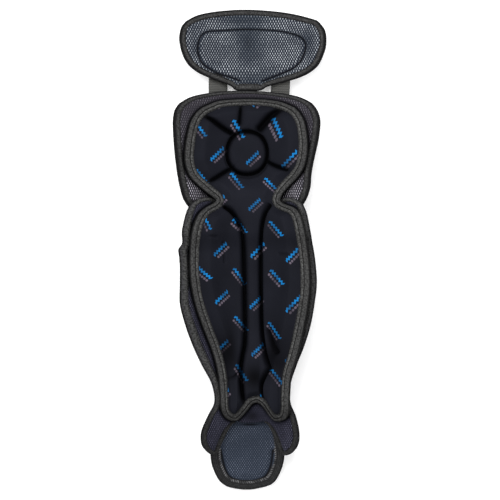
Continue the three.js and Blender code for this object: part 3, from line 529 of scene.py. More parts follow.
def pad_mesh(name, outline, size, tape, bottom, top, material, shade):
    """A pad inside its edge tape. top(grid, distance) is its height off its own underside,
    and shade(grid) gives from 0 to 1 the painted shade on it."""
    down, across = size
    sides = sides_of(outline, down, across)
    ring = ring_of(sides)
    inner = shrunk(ring, ring[:, 2] * tape["width"] * PAD_INSET)
    grid = grid_between(sides_from(inner, down, across))
    x, y = grid[..., 0], grid[..., 1]
    distance = distance_to_line(grid, np.vstack([inner, inner[:1]]))
    base = bottom(y)
    px, py = standing(x, y, base + tape["plumb"])
    upper = lifted(px, py, base + top(grid, distance))
    lower = lifted(px, py, base + PAD_CLEARANCE)
    points, faces = grid_solid(upper, lower)
    uv = np.stack([across_form(px, py), py], axis=-1).reshape(-1, 2)
    pressed = np.concatenate([shade(grid).ravel(), np.zeros(x.size)])
    return new_piece(name, points, faces, np.vstack([uv, uv]), material, pressed)


# %% A tape round a ring
OPEN_BELOW = 0.27  # where the tape's share is less, the edge has no tape
untaped = ring_of(sides_of("shin", 260, 150))[:, 2] < OPEN_BELOW
print("shin pad: no tape at", int(untaped.sum()), "of", len(untaped), "points")


def tape_mesh(name, outline, size, tape, section, bottom, material):
    """The edge tape round a pad. section rows are (inwards, up) shares of width and height."""
    down, across = size
    ring = ring_of(sides_of(outline, down, across))
    lengths = np.linalg.norm(np.diff(np.vstack([ring, ring[:1]])[:, :2], axis=0), axis=1)
    along = np.concatenate([[0], np.cumsum(lengths)])[:-1]
    taped = ring[:, 2] >= OPEN_BELOW
    starts = np.flatnonzero(taped & ~np.roll(taped, 1))
    order = np.arange(len(ring))
    is_open = len(starts) > 0
    if is_open:
        order = [i % len(ring) for i in range(starts[0], starts[0] + int(taped.sum()))]
    lines, uvs = [], []
    profile = np.array(section, float) * [tape["width"], tape["thickness"]]
    profile_steps = np.linalg.norm(np.diff(profile, axis=0), axis=1)
    profile_length = np.concatenate([[0], np.cumsum(profile_steps)])
    for (inwards, up), v in zip(section, profile_length):
        line = shrunk(ring, ring[:, 2] * tape["width"] * inwards)
        x, y = line[:, 0], line[:, 1]
        base = bottom(y)
        px, py = standing(x, y, base + tape["plumb"])
        lines.append(lifted(px, py, base + up * tape["thickness"])[order])
        uvs.append(np.stack([along[order], np.full(len(order), v)], axis=1))
    points = np.stack(lines, axis=1)
    uv = np.stack(uvs, axis=1)
    if not is_open:
        points = np.vstack([points, points[:1]])
        closing = uv[:1].copy()
        closing[..., 0] = along[-1] + lengths[-1]
        uv = np.vstack([uv, closing])
    stations, corners = points.shape[:2]
    faces = []
    for i in range(stations - 1):
        for k in range(corners):
            m = (k + 1) % corners
            a, b = i * corners + k, i * corners + m
            faces.append([a, a + corners, b + corners, b])
    if is_open:
        faces.append(list(range(corners)))
        faces.append(list(range(stations * corners - 1, (stations - 1) * corners - 1, -1)))
    return new_piece(name, points.reshape(-1, 3), faces, uv.reshape(-1, 2), material)


# %% [markdown]
# ## The camera
# The photo looks straight down on the padded side, so the camera hangs far above the guard
# with a long lens. It comes first, before any piece is made.

# %% Camera
MM_PER_PIXEL = 1.368
PICTURE = 500
SENSOR = 36  # mm
CAMERA_HEIGHT = 4.2  # metres, as is the next one
MIDDLE_HEIGHT = 0.045
PHOTO_CENTRE = (250.0, 250.0)  # pixels, right and down
GUARD_CENTRE = (250.1, 249.5)

camera_data = bpy.data.cameras.new("camera")
camera = bpy.data.objects.new("camera", camera_data)
bpy.context.scene.collection.objects.link(camera)
seen_width = MM_PER_PIXEL * MM * PICTURE
camera_data.sensor_width = SENSOR
camera_data.lens = SENSOR * (CAMERA_HEIGHT - MIDDLE_HEIGHT) / seen_width
camera.location = (
    (PHOTO_CENTRE[0] - GUARD_CENTRE[0]) * MM_PER_PIXEL * MM,
    (GUARD_CENTRE[1] - PHOTO_CENTRE[1]) * MM_PER_PIXEL * MM,
    CAMERA_HEIGHT,
)
camera_data.clip_end = 100
bpy.context.scene.camera = camera
print(f"lens {camera_data.lens:.0f} mm")


# %% [markdown]
# ## How the materials are made
# Each material starts from its Principled shader, whose plain values are set on the shader
# itself. Patterns are small node chains in millimetres of real cloth. One function adds every
# node. A Mix node that mixes colours takes them at its sockets 6 and 7 and gives the result at
# its output 2. A Map Range node turns a range of values softly into another.

# %% Small makers for materials
def srgb(code):
    """A hex colour as Blender's linear colour."""
    parts = [int(code[i : i + 2], 16) / 255 for i in (1, 3, 5)]
    linear = [c / 12.92 if c <= 0.04045 else ((c + 0.055) / 1.055) ** 2.4 for c in parts]
    return (*linear, 1.0)


def add(material, kind, sockets=(), output=0, **settings):
    """Add a node with its settings and give back one of its outputs.

    A kind in capitals is a Math node's operation. sockets is a list in the node's own order, or
    a dict by a socket's number or name. Another node's output is linked there, and a number or
    a hex colour is set.
    """
    tree = material.node_tree
    node = tree.nodes.new("ShaderNodeMath" if kind.isupper() else "ShaderNode" + kind)
    if kind.isupper():
        node.operation = kind
    for name, value in settings.items():
        setattr(node, name, value)
    for key, value in sockets.items() if isinstance(sockets, dict) else enumerate(sockets):
        if isinstance(value, bpy.types.NodeSocket):
            tree.links.new(value, node.inputs[key])
        else:
            node.inputs[key].default_value = srgb(value) if isinstance(value, str) else value
    return node.outputs[output]


SOFTLY = {"interpolation_type": "SMOOTHSTEP"}
COLOURS = {"output": 2, "data_type": "RGBA"}


def new_material(name, roughness, **values):
    """A material with a Principled shader, and that shader."""
    material = bpy.data.materials.new(name)
    material.use_nodes = True
    shader = material.node_tree.nodes["Principled BSDF"]
    shader.inputs["Roughness"].default_value = roughness
    for key, value in values.items():
        value = srgb(value) if isinstance(value, str) else value
        shader.inputs[key.replace("_", " ")].default_value = value
    return material, shader


def dress(material, shader, colour, height, depth, strength=1.0):
    """Give a shader its colour, and a relief that is depth millimetres deep."""
    links = material.node_tree.links
    if colour is not None:
        links.new(colour, shader.inputs["Base Color"])
    relief = {"Height": height, "Distance": depth * MM, "Strength": strength}
    links.new(add(material, "Bump", relief), shader.inputs["Normal"])


def cloth_axes(material):
    """The cloth's own coordinates in millimetres: along u, along v, and both together."""
    uv = add(material, "UVMap", uv_map="cloth")
    cloth = add(material, "VectorMath", {0: uv, "Scale": 1 / MM}, operation="SCALE")
    u, v, _ = add(material, "SeparateXYZ", [cloth]).node.outputs
    return u, v, cloth


print("white in linear light:", srgb("#ffffff"))

# %% [markdown]
# ## Spacer mesh
# The pads' face is a warp-knitted spacer mesh: a dark navy ground with rows of small upright
# loops that catch the light. Each row is offset by half a loop from the row above. The loops
# stand 3.3 to 4 mm apart across and 2.5 to 3.4 mm down, and a bump makes the holes between
# them. An attribute called pressed, 0 to 1 at each point, carries painted shade: it first dulls
# the loops and then darkens the ground, in the lines pressed into the pad and where shade falls.

# %% Spacer mesh material
def spacer_mesh(name, ground, loop, loop_across, loop_down, fade=None):
    """Spacer mesh with loops at a pitch in mm. fade says between which y in metres the loops grow
    dim towards the thigh, to about a quarter."""
    m, shader = new_material(name, 0.85, Specular_IOR_Level=0.08)
    u, v, cloth = cloth_axes(m)
    row = add(m, "DIVIDE", [v, loop_down])
    half_drop = row
    for operation, *number in (("FLOOR",), ("MODULO", 2.0), ("MULTIPLY", 0.5)):
        half_drop = add(m, operation, [half_drop, *number])
    column = add(m, "DIVIDE", [u, loop_across])
    column = add(m, "ADD", [column, half_drop])
    # Each loop is an upright oval: the distance from its middle grows faster across than down.
    squares = []
    for share, stretch in ((column, 2.1), (row, 0.8)):
        steps = (("FRACT",), ("SUBTRACT", 0.5), ("MULTIPLY", stretch), ("POWER", 2.0))
        for operation, *number in steps:
            share = add(m, operation, [share, *number])
        squares.append(share)
    oval = add(m, "ADD", squares)
    oval = add(m, "SQRT", [oval])
    mark = add(m, "MapRange", [oval, 0.46, 0.16, 0.0, 1.0], **SOFTLY)
    # Some places are brighter than others, over some 45 mm and over some 3 mm.
    noise = add(m, "TexNoise", {"Vector": cloth, "Scale": 0.022, "Detail": 2.0})
    fine = add(m, "TexNoise", {"Vector": cloth, "Scale": 0.3, "Detail": 2.0})
    shade = add(m, "Attribute", output=2, attribute_name="pressed")
    factors = [
        add(m, "MapRange", [noise, 0.35, 0.65, 0.5, 1.0], **SOFTLY),
        add(m, "MapRange", [fine, 0.3, 0.7, 0.45, 1.0], **SOFTLY),
    ]
    if fade is not None:
        place = add(m, "TexCoord", output="Object")
        y = add(m, "SeparateXYZ", [place], "Y")
        factors.append(add(m, "MapRange", [y, *fade, 1.0, 0.26], **SOFTLY))
    # Painted shade: the attribute dims the loops.
    factors.append(add(m, "MapRange", [shade, 0.0, 0.8, 1.0, 0.15], **SOFTLY))
    amount = mark
    for factor in factors:
        amount = add(m, "MULTIPLY", [amount, factor])
    # Painted shade: near 1 the ground is darkened almost to black.
    darker = add(m, "MapRange", [shade, 0.6, 1.0, 0.0, 0.92], **SOFTLY)
    colour = add(m, "Mix", {0: amount, 6: ground, 7: loop}, **COLOURS)
    colour = add(m, "Mix", {0: darker, 6: colour, 7: "#090a0e"}, **COLOURS)
    dress(m, shader, colour, mark, 0.9, 0.8)
    return m


# Columns: name, ground, loop, pitch across and down in mm, and where the loops fade.
MESH_ROWS = [
    ("polyester spacer mesh, navy", "#1f252e", "#dde2e9", 4.0, 3.3),
    ("polyester spacer mesh, fine", "#252b36", "#6c7483", 3.3, 2.5),
    ("polyester spacer mesh, plum grey", "#29272d", "#cdc9d3", 4.0, 3.4, (0.094, 0.108)),
    # The shin pad's mesh is dark, and darker still as painted shade for the shadow between its tape
    # and the liner's piping.
    ("polyester spacer mesh, dark with painted shade", "#1c1c26", "#656577", 3.4, 2.8),
]
MESH, MESH_FINE, MESH_PLUM, MESH_DARK = [spacer_mesh(*row) for row in MESH_ROWS]
print("meshes:", [row[0] for row in MESH_ROWS])

# %% [markdown]
# ## Edge tape
# The edges are wrapped in a soft knitted tape, folded over and sewn down. It is a warm dark
# grey with a painted highlight along the crest of its roll and painted shade on its outer wall
# and inside its lip, with fine ribs and a row of stitches near its inner edge that comes and
# goes. u runs along the tape and v over its width. Its colour is laid on in layers, each with
# an amount of its own. The knit is finer than a pixel on the real tape, so its ribs are drawn
# about twice as coarse.

# %% Stitches of the tape
STITCH_PITCH = 3.6
FIND_BEAT = (("DIVIDE", STITCH_PITCH), ("FRACT",), ("SUBTRACT", 0.5), ("ABSOLUTE",))


def stitches(m, slant, from_row, noise):
    """1 on the stitches of a row that comes and goes with a noise, and 0 beside them."""
    beat = slant
    for operation, *number in FIND_BEAT:
        beat = add(m, operation, [beat, *number])
    stitch = add(m, "MapRange", [from_row, 1.5, 1.0, 0.0, 1.0], **SOFTLY)
    for factor in (
        add(m, "MapRange", [beat, 0.34, 0.26, 0.0, 1.0], **SOFTLY),
        add(m, "MapRange", [noise, 0.42, 0.56, 0.2, 1.0], **SOFTLY),
    ):
        stitch = add(m, "MULTIPLY", [stitch, factor])
    return stitch


print("stitches every", STITCH_PITCH, "mm")

# %% Edge tape material
RIB_PITCH, CROSS_PITCH = 1.9, 1.5


def edge_tape(name, base, crest_highlight, rim, crest, thread_at, thread, lip, second=None, dusk=None):
    """Tape painted dark as shade up to its rim, with a painted highlight at its crest, sewn at
    thread_at and painted dark as shade inside the lip, all in mm over its width. A second roll
    may start beyond a crease at second, painted dark as shade. dusk says between which y in
    metres the tape grows darker towards the ankle, and by how much."""
    m, shader = new_material(name, 0.92, Specular_IOR_Level=0.06)
    u, v, cloth = cloth_axes(m)
    lean = add(m, "MULTIPLY", [v, 0.8])
    slant = add(m, "ADD", [u, lean])
    ribs = []
    for place, pitch in ((slant, RIB_PITCH), (v, CROSS_PITCH)):
        angle = add(m, "MULTIPLY", [place, 2 * math.pi / pitch])
        ribs.append(add(m, "SINE", [angle]))
    knit = add(m, "ADD", ribs)
    knit = add(m, "MULTIPLY", [knit, 0.25])
    noise = add(m, "TexNoise", {"Vector": cloth, "Scale": 0.12, "Detail": 4.0})
    grit = add(m, "TexNoise", {"Vector": cloth, "Scale": 0.45, "Detail": 4.0})

    # How far a place lies from the crest, from the row of stitches and from the crease.
    gaps = []
    for line in (crest, thread_at) if second is None else (crest, thread_at, second):
        gap = add(m, "SUBTRACT", [v, line])
        gaps.append(add(m, "ABSOLUTE", [gap]))
    # Painted highlight: the crest of the roll is paler, in patches.
    crest_light = add(m, "MapRange", [gaps[0], 3.4, 0.6, 0.0, 1.0], **SOFTLY)
    patchy = add(m, "MapRange", [noise, 0.3, 0.7, 0.3, 1.0], **SOFTLY)
    crest_light = add(m, "MULTIPLY", [crest_light, patchy])
    dull = add(m, "MapRange", [grit, 0.56, 0.42, 0.0, 0.7], **SOFTLY)
    speck = add(m, "MapRange", [knit, 0.15, 0.5, 0.0, 1.0], **SOFTLY)
    speck = add(m, "MULTIPLY", [speck, 0.4])
    # Painted shade: the outer wall below the rim is darkened, which also draws the shadow line outside
    # the piping.
    outside = add(m, "MapRange", [v, rim, rim - 2, 0.0, 0.9], **SOFTLY)

    stitch = stitches(m, slant, gaps[1], noise)
    sewn = add(m, "MULTIPLY", [stitch, 0.8])

    layers = [(crest_light, crest_highlight), (dull, "#141414"), (speck, "#5a5a59"), (outside, "#0d0d0e")]
    # Painted shade: the crease between the two rolls is darkened almost to black.
    if second is not None:
        layers.append((add(m, "MapRange", [gaps[2], 1.5, 0.5, 0.0, 1.0], **SOFTLY), "#060606"))
    layers.append((sewn, thread))
    if dusk is not None:
        start, end, most = dusk
        place = add(m, "TexCoord", output="Object")
        y = add(m, "SeparateXYZ", [place], "Y")
        layers.append((add(m, "MapRange", [y, start, end, 0.0, most], **SOFTLY), "#0e0e0e"))
    # Painted shade: the inside of the lip, where the tape tucks into the pad, is darkened.
    layers.append((add(m, "MapRange", [v, lip - 1.2, lip, 0.0, 1.0], **SOFTLY), "#0c0c0d"))
    colour = base
    for amount, over in layers:
        colour = add(m, "Mix", {0: amount, 6: colour, 7: over}, **COLOURS)
    sunk = add(m, "MULTIPLY", [stitch, 1.5])
    height = add(m, "SUBTRACT", [knit, sunk])
    dress(m, shader, colour, height, 0.5, 0.8)
    return m


TAPE_CLOTH = edge_tape("nylon knit edge tape", "#282829", "#464646", 6.2, 8.4, 10.4, "#131313", 13.0)
SHIN_TAPE_CLOTH = edge_tape(
    "nylon knit edge tape, worn", "#38383a", "#50504f", 4.6, 7.4, 10.4, "#161616", 13.4,
    dusk=(-0.198, -0.236, 0.62),
)
TOE_TAPE_CLOTH = edge_tape(
    "nylon knit edge tape, pale thread", "#19191b", "#29292a", 4.6, 6.8, 11.2, "#707072", 14.4
)
PIPING_CLOTH = edge_tape(
    "nylon knit piping", "#3f3f3f", "#585857", 4.6, 11.2, 16.0, "#1c1c1c", 19.0, 10.2,
    dusk=(-0.2, -0.226, 0.36),
)
print("tapes:", [cloth.name for cloth in (TAPE_CLOTH, SHIN_TAPE_CLOTH, TOE_TAPE_CLOTH, PIPING_CLOTH)])

# %% [markdown]
# ## Liner cloth
# The cushion is covered in a fine stretch knit, nearly black with a blue cast and a soft
# sheen. Its print is a plain generic motif, a short blue zigzag beside a row of grey dots,
# slanted one way in one row and the other way in the next. A slow noise makes the rows drift,
# as cloth does when it is pulled over a cushion.

# %% The print's own axes
PRINT_ACROSS, PRINT_DOWN = 52.0, 34.0  # mm from one motif to the next


def motif_axes(m, cloth):
    """Millimetres along and beside a motif's slanted line, and how far out along it."""
    drift = add(m, "TexNoise", {"Vector": cloth, "Scale": 0.01, "Detail": 0.0})
    drifted = []
    for axis, sway in (("X", 30.0), ("Y", 40.0)):
        plain = add(m, "SeparateXYZ", [cloth], axis)
        moved = add(m, "MULTIPLY", [drift, sway])
        drifted.append(add(m, "ADD", [plain, moved]))
    u, v = drifted

    # First x and y in the motif's cell, then along and beside its slanted line.
    row = add(m, "DIVIDE", [v, PRINT_DOWN])
    odd = row
    for operation, *number in (("FLOOR",), ("ADD", 40.0), ("MODULO", 2.0)):
        odd = add(m, operation, [odd, *number])
    half_drop = add(m, "MULTIPLY", [odd, 0.5])
    column = add(m, "DIVIDE", [u, PRINT_ACROSS])
    column = add(m, "ADD", [column, half_drop])
    in_cell = []
    for share, size in ((column, PRINT_ACROSS), (row, PRINT_DOWN)):
        for operation, *number in (("FRACT",), ("SUBTRACT", 0.5), ("MULTIPLY", size)):
            share = add(m, operation, [share, *number])
        in_cell.append(share)
    x, y = in_cell
    turn = add(m, "MULTIPLY", [odd, 2.0])
    turn = add(m, "SUBTRACT", [1.0, turn])
    turned = [add(m, "MULTIPLY", [axis, turn]) for axis in in_cell]
    along = add(m, "ADD", [x, turned[1]])
    along = add(m, "MULTIPLY", [along, math.sqrt(0.5)])
    beside = add(m, "SUBTRACT", [y, turned[0]])
    beside = add(m, "MULTIPLY", [beside, math.sqrt(0.5)])
    return along, beside, add(m, "ABSOLUTE", [along])


print("a motif every", PRINT_ACROSS, "mm across and", PRINT_DOWN, "mm down")

# %% The zigzag and the dots
# Millimetres: half a motif's length, a zigzag's width and height, and the dots' pitch and place.
MOTIF_REACH, ZIGZAG_STEP, ZIGZAG_SLOPE, DOT_PITCH, DOTS_BELOW = 13.5, 2.3, 1.2, 4.0, 3.9


def zigzag_ink(m, along, beside, reach):
    """1 on a line that goes up and down beside the motif's axis."""
    saw = along
    steps = (("ADD", 40.0), ("PINGPONG", ZIGZAG_STEP), ("MULTIPLY", ZIGZAG_SLOPE), ("ADD", 0.6))
    for operation, number in steps:
        saw = add(m, operation, [saw, number])
    zigzag = add(m, "SUBTRACT", [beside, saw])
    zigzag = add(m, "ABSOLUTE", [zigzag])
    blue = add(m, "MapRange", [zigzag, 1.9, 1.3, 0.0, 1.0], **SOFTLY)
    ends = add(m, "MapRange", [reach, MOTIF_REACH, MOTIF_REACH - 0.6, 0.0, 1.0], **SOFTLY)
    return add(m, "MULTIPLY", [blue, ends])


def dot_ink(m, along, beside, reach):
    """1 on round dots, at their own pitch along the same axis."""
    across = along
    steps = (("DIVIDE", DOT_PITCH), ("FRACT",), ("SUBTRACT", 0.5), ("MULTIPLY", DOT_PITCH))
    for operation, *number in steps:
        across = add(m, operation, [across, *number])
    below = add(m, "ADD", [beside, DOTS_BELOW])
    squares = [add(m, "POWER", [side, 2.0]) for side in (across, below)]
    from_dot = add(m, "ADD", squares)
    from_dot = add(m, "SQRT", [from_dot])
    grey = add(m, "MapRange", [from_dot, 2.0, 1.3, 0.0, 1.0], **SOFTLY)
    ends = add(m, "MapRange", [reach, MOTIF_REACH - 1.5, MOTIF_REACH - 1.6, 0.0, 1.0], **SOFTLY)
    return add(m, "MULTIPLY", [grey, ends])


print("dots every", DOT_PITCH, "mm")


# %% Liner material
def liner_cloth(name):
    """Stretch knit with the print, and painted shade: blacker where the attribute pressed says so,
    in grooves, round the disc and in the hollows.
    """
    m, shader = new_material(name, 0.7, Specular_IOR_Level=0.03)
    place = add(m, "TexCoord", output="Object")
    cloth = add(m, "VectorMath", {0: place, "Scale": 1 / MM}, operation="SCALE")
    axes = motif_axes(m, cloth)
    grey, blue = dot_ink(m, *axes), zigzag_ink(m, *axes)
    fade = add(m, "TexNoise", {"Vector": cloth, "Scale": 0.05, "Detail": 1.0})
    worn = add(m, "MapRange", [fade, 0.35, 0.6, 0.4, 0.95], **SOFTLY)
    grey, blue = [add(m, "MULTIPLY", [ink, worn]) for ink in (grey, blue)]
    ground = add(m, "TexNoise", {"Vector": cloth, "Scale": 0.02, "Detail": 2.0})
    shade = add(m, "Attribute", output=2, attribute_name="pressed")
    # Painted shade: the cloth is blackened in the grooves, round the disc and in the hollows.
    deep = add(m, "MULTIPLY", [shade, 0.92])
    colour = "#121318"
    for amount, over in ((ground, "#1b1c23"), (grey, "#5d5560"), (blue, "#156fae"), (deep, "#020203")):
        colour = add(m, "Mix", {0: amount, 6: colour, 7: over}, **COLOURS)
    fine = add(m, "TexNoise", {"Vector": cloth, "Scale": 0.9, "Detail": 2.0})
    dress(m, shader, colour, fine, 0.3, 0.5)
    return m


LINER_CLOTH = liner_cloth("polyester stretch knit, printed")
print("liner:", LINER_CLOTH.name, len(LINER_CLOTH.node_tree.nodes), "nodes")

# %% [markdown]
# ## Webbing, plastic and steel
# The straps are 1 inch nylon webbing, whose ribs run across. Its real ribs are about 1.2 mm
# apart, too fine to show here, so they are drawn at 2.4 mm. The shells are injection moulded
# polypropylene with a fine spark-eroded grain, which breaks up their gloss. It is drawn at
# about 1 mm, because the real one of 0.2 mm wouldn't show. The rivets are nickel-plated steel,
# bright and smooth.

# %% Webbing, shell and rivet materials
WEBBING_RIB, WEBBING_YARN = 2.4, 2.8


def webbing_cloth(name):
    m, shader = new_material(name, 0.8, Specular_IOR_Level=0.3)
    place = add(m, "TexCoord", output="Object")
    ribs = []
    for axis, pitch in (("Y", WEBBING_RIB), ("X", WEBBING_YARN)):
        plain = add(m, "SeparateXYZ", [place], axis)
        angle = add(m, "MULTIPLY", [plain, 2 * math.pi / (pitch * MM)])
        ribs.append(add(m, "SINE", [angle]))
    woven = add(m, "MULTIPLY", ribs)
    height = add(m, "ADD", [ribs[0], woven])
    height = add(m, "MULTIPLY", [height, 0.5])
    amount = add(m, "MapRange", [height, -0.6, 0.8, 0.0, 1.0], **SOFTLY)
    colour = add(m, "Mix", {0: amount, 6: "#353535", 7: "#5c5c58"}, **COLOURS)
    dress(m, shader, colour, height, 0.5)
    return m


def moulded_plastic(name):
    m, shader = new_material(name, 0.42, Base_Color="#242428", Specular_IOR_Level=0.5, IOR=1.49)
    place = add(m, "TexCoord", output="Object")
    grain = add(m, "TexNoise", {"Vector": place, "Scale": 900.0, "Detail": 3.0})
    dress(m, shader, None, grain, 0.2, 0.6)
    return m


WEBBING = webbing_cloth("nylon webbing, 1 inch")
SHELL_PLASTIC = moulded_plastic("polypropylene, moulded with a fine grain")
RIVET_STEEL = new_material("steel rivet, nickel plated", 0.32, Base_Color="#9a9a9c", Metallic=1.0)[0]
print("materials:", len(bpy.data.materials))

# %% [markdown]
# ## The pads
# Thigh, knee, shin and instep pads are foam slabs that thin towards their tape. The thigh and
# instep pads have an embossed line pressed into the mesh, which leaves a raised panel. They
# are laid as fine grids on the form, because a simulated cushion would lose these pressed
# lines. The pressed lines are painted dark as shade, and the mesh is painted duller and darker
# where shade falls, and all this painted shade goes into one attribute.

# %% Pressed lines, as points (across, along) of each pad
THIGH_LINE = [
    (-0.12, 0.885), (-0.24, 0.84), (-0.42, 0.79), (-0.55, 0.73), (-0.65, 0.66), (-0.7, 0.56),
    (-0.71, 0.45), (-0.68, 0.35), (-0.6, 0.29), (-0.38, 0.265), (0.0, 0.25), (0.38, 0.265),
    (0.58, 0.3), (0.74, 0.355), (0.81, 0.43), (0.8, 0.53), (0.74, 0.64), (0.63, 0.73),
    (0.49, 0.785), (0.33, 0.84), (0.2, 0.885),
]
INSTEP_LINE = [
    (-0.76, 0.58), (-0.71, 0.68), (-0.64, 0.78), (-0.54, 0.855), (-0.36, 0.897), (-0.03, 0.912),
    (0.28, 0.897), (0.48, 0.855), (0.59, 0.78), (0.65, 0.69), (0.68, 0.58),
]


def pressed_line(rows, half, place, width):
    """A function giving 0 to 1 for how deep a point lies in a pressed line."""
    points = curve_through([(x * half, place(y), 0) for x, y in rows], 8)

    def depth(grid):
        return np.exp(-((distance_to_line(grid, points) / width) ** 2))

    return depth


thigh_line = pressed_line(THIGH_LINE, THIGH_WIDTH / 2, thigh_y, 2.1)
instep_line = pressed_line(INSTEP_LINE, INSTEP_WIDTH / 2, instep_y, 2.7)
print("pressed lines of", len(THIGH_LINE), "and", len(INSTEP_LINE), "points")


# %% Painted shade on the pads
def dim(grid, *rows):
    """0 to 1 for the painted shade at each point. Rows: x, y, width and length in mm, amount."""
    x, y = grid[..., 0], grid[..., 1]
    places = [
        amount * np.exp(-(((x - at_x) / width) ** 2) - ((y - at_y) / length) ** 2)
        for at_x, at_y, width, length, amount in rows
    ]
    return np.max(places, axis=0)


LINER_RING = ring_of(sides_of("liner", 200, 80))[:, :2]
LINER_RING = np.vstack([LINER_RING, LINER_RING[:1]])


def under_piping(grid):
    """0 to 1 for how close a point lies to the liner's outline, where its piping sits. The pad
    is pressed down there, and the same value paints the piping's shadow on it.
    """
    return np.minimum(1.2 * np.exp(-((distance_to_line(grid, LINER_RING) / 3.2) ** 2)), 1)


# Painted shade: the thigh pad's loops are dimmed in its middle and margins, where they catch less
# light.
# Columns: x, y, width and length in mm, amount.
THIGH_PAINTED_SHADE = [
    (0, thigh_y(0.42), 24, 36, 0.72), (-8, thigh_y(0.13), 60, 8, 0.6),
    (84, thigh_y(0.42), 11, 24, 0.66), (-76, thigh_y(0.42), 5, 24, 0.4),
    (0, thigh_y(0.88), 36, 15, 0.6),
]
# Painted shade: the knee pad's top strip, below the thigh pad's end, is darkened.
KNEE_PAINTED_SHADE = [(0, knee_y(0.05), 64, 9, 0.6)]
# Painted shade: the shin pad under the liner's foot is darkened.
SHIN_PAINTED_SHADE = [(5, shin_y(0.845), 20, 14, 0.86)]
# Painted shadow: a dark band where the shin pad's foot shades the instep pad.
INSTEP_HINGE_SHADOW = [(2, shin_y(0.88), 26, 3.2, 0.95)]
print("dull places:", [len(rows) for rows in (THIGH_PAINTED_SHADE, KNEE_PAINTED_SHADE, SHIN_PAINTED_SHADE, INSTEP_HINGE_SHADOW)])


# Painted shade: the pressed lines are darkened, and the places in the tables dimmed.
def thigh_shade(grid):
    return np.maximum(thigh_line(grid), dim(grid, *THIGH_PAINTED_SHADE))


def knee_shade(grid):
    return np.maximum(under_piping(grid), dim(grid, *KNEE_PAINTED_SHADE))


def shin_shade(grid):
    return np.maximum(under_piping(grid), dim(grid, *SHIN_PAINTED_SHADE))


def instep_shade(grid):
    return np.maximum(instep_line(grid), dim(grid, *INSTEP_HINGE_SHADOW))


# %% Heights over the pads
def waves(grid, size, seed):
    """Gentle lumps of a few millimetres' spacing, the same in every run."""
    rng = np.random.default_rng(seed)
    total = np.zeros(grid.shape[:-1])
    for _ in range(10):
        way = rng.normal(size=2)
        way *= 2 * math.pi / (size * np.linalg.norm(way)) * rng.uniform(0.6, 1.4)
        total += np.sin(grid @ way + rng.uniform(0, 2 * math.pi))
    return total / 10


def plain_top(grid, distance):
    pad = mix(PAD_EDGE, PAD, round_over(distance / 16)) + 0.35 * waves(grid, 40, 3)
    return pad - 2.5 * under_piping(grid)


def thigh_top(grid, distance):
    pad = mix(PAD_EDGE, PAD, round_over(distance / 12))
    pad = pad + 3.0 * smooth((distance - 10) / 8)
    return pad - 3.4 * thigh_line(grid) + 0.4 * waves(grid, 55, 5)


def instep_top(grid, distance):
    pad = mix(PAD_EDGE, INSTEP_PAD - 1.5, round_over(distance / 10))
    pad = pad + 1.5 * smooth((distance - 6) / 5)
    return pad - 2.4 * instep_line(grid) + 0.2 * waves(grid, 45, 7)


print("pads rise from", PAD_EDGE, "mm at the edge to", PAD, "mm")

# %% Make the pads
TAPE = {"width": 9.0, "thickness": 6.0, "plumb": 6.0}
LINER_TAPE = {"width": 11.0, "thickness": 7.0, "plumb": 3.5}
PAD_ROWS = [
    ("thigh", (120, 170), flat_bottom, thigh_top, MESH, thigh_shade),
    ("knee", (130, 130), flat_bottom, plain_top, MESH_PLUM, knee_shade),
    ("shin", (240, 120), shin_bottom, plain_top, MESH_DARK, shin_shade),
    ("instep", (130, 100), instep_bottom, instep_top, MESH_FINE, instep_shade),
]
for name, size, bottom, top, material, shade in PAD_ROWS:
    pad = pad_mesh(f"{name}_pad_foam", name, size, TAPE, bottom, top, material, shade)
    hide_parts(f"{name}_pad")

# %% [markdown]
# ## The liner
# The liner is one moulded cushion. Deep grooves part it into a knee disc with five arms round
# it, a centre spine, two long side cushions and two foot cushions, and its own edge is piped.
# The grooves are lines of points pressed into the grid, because a moulded groove keeps its
# place and its round floor, which a cut in the mesh would not give.

# %% Grooves of the liner
def knee_points(*rows):
    return [(x * LINER_KNEE_WIDTH / 2, knee_y(y), 0) for x, y in rows]


def shin_points(*rows):
    return [(x * LINER_CALF_WIDTH / 2, shin_y(y), 0) for x, y in rows]


DISC_CENTRE, DISC_RADIUS = (-2.0, knee_y(0.572)), 31.0
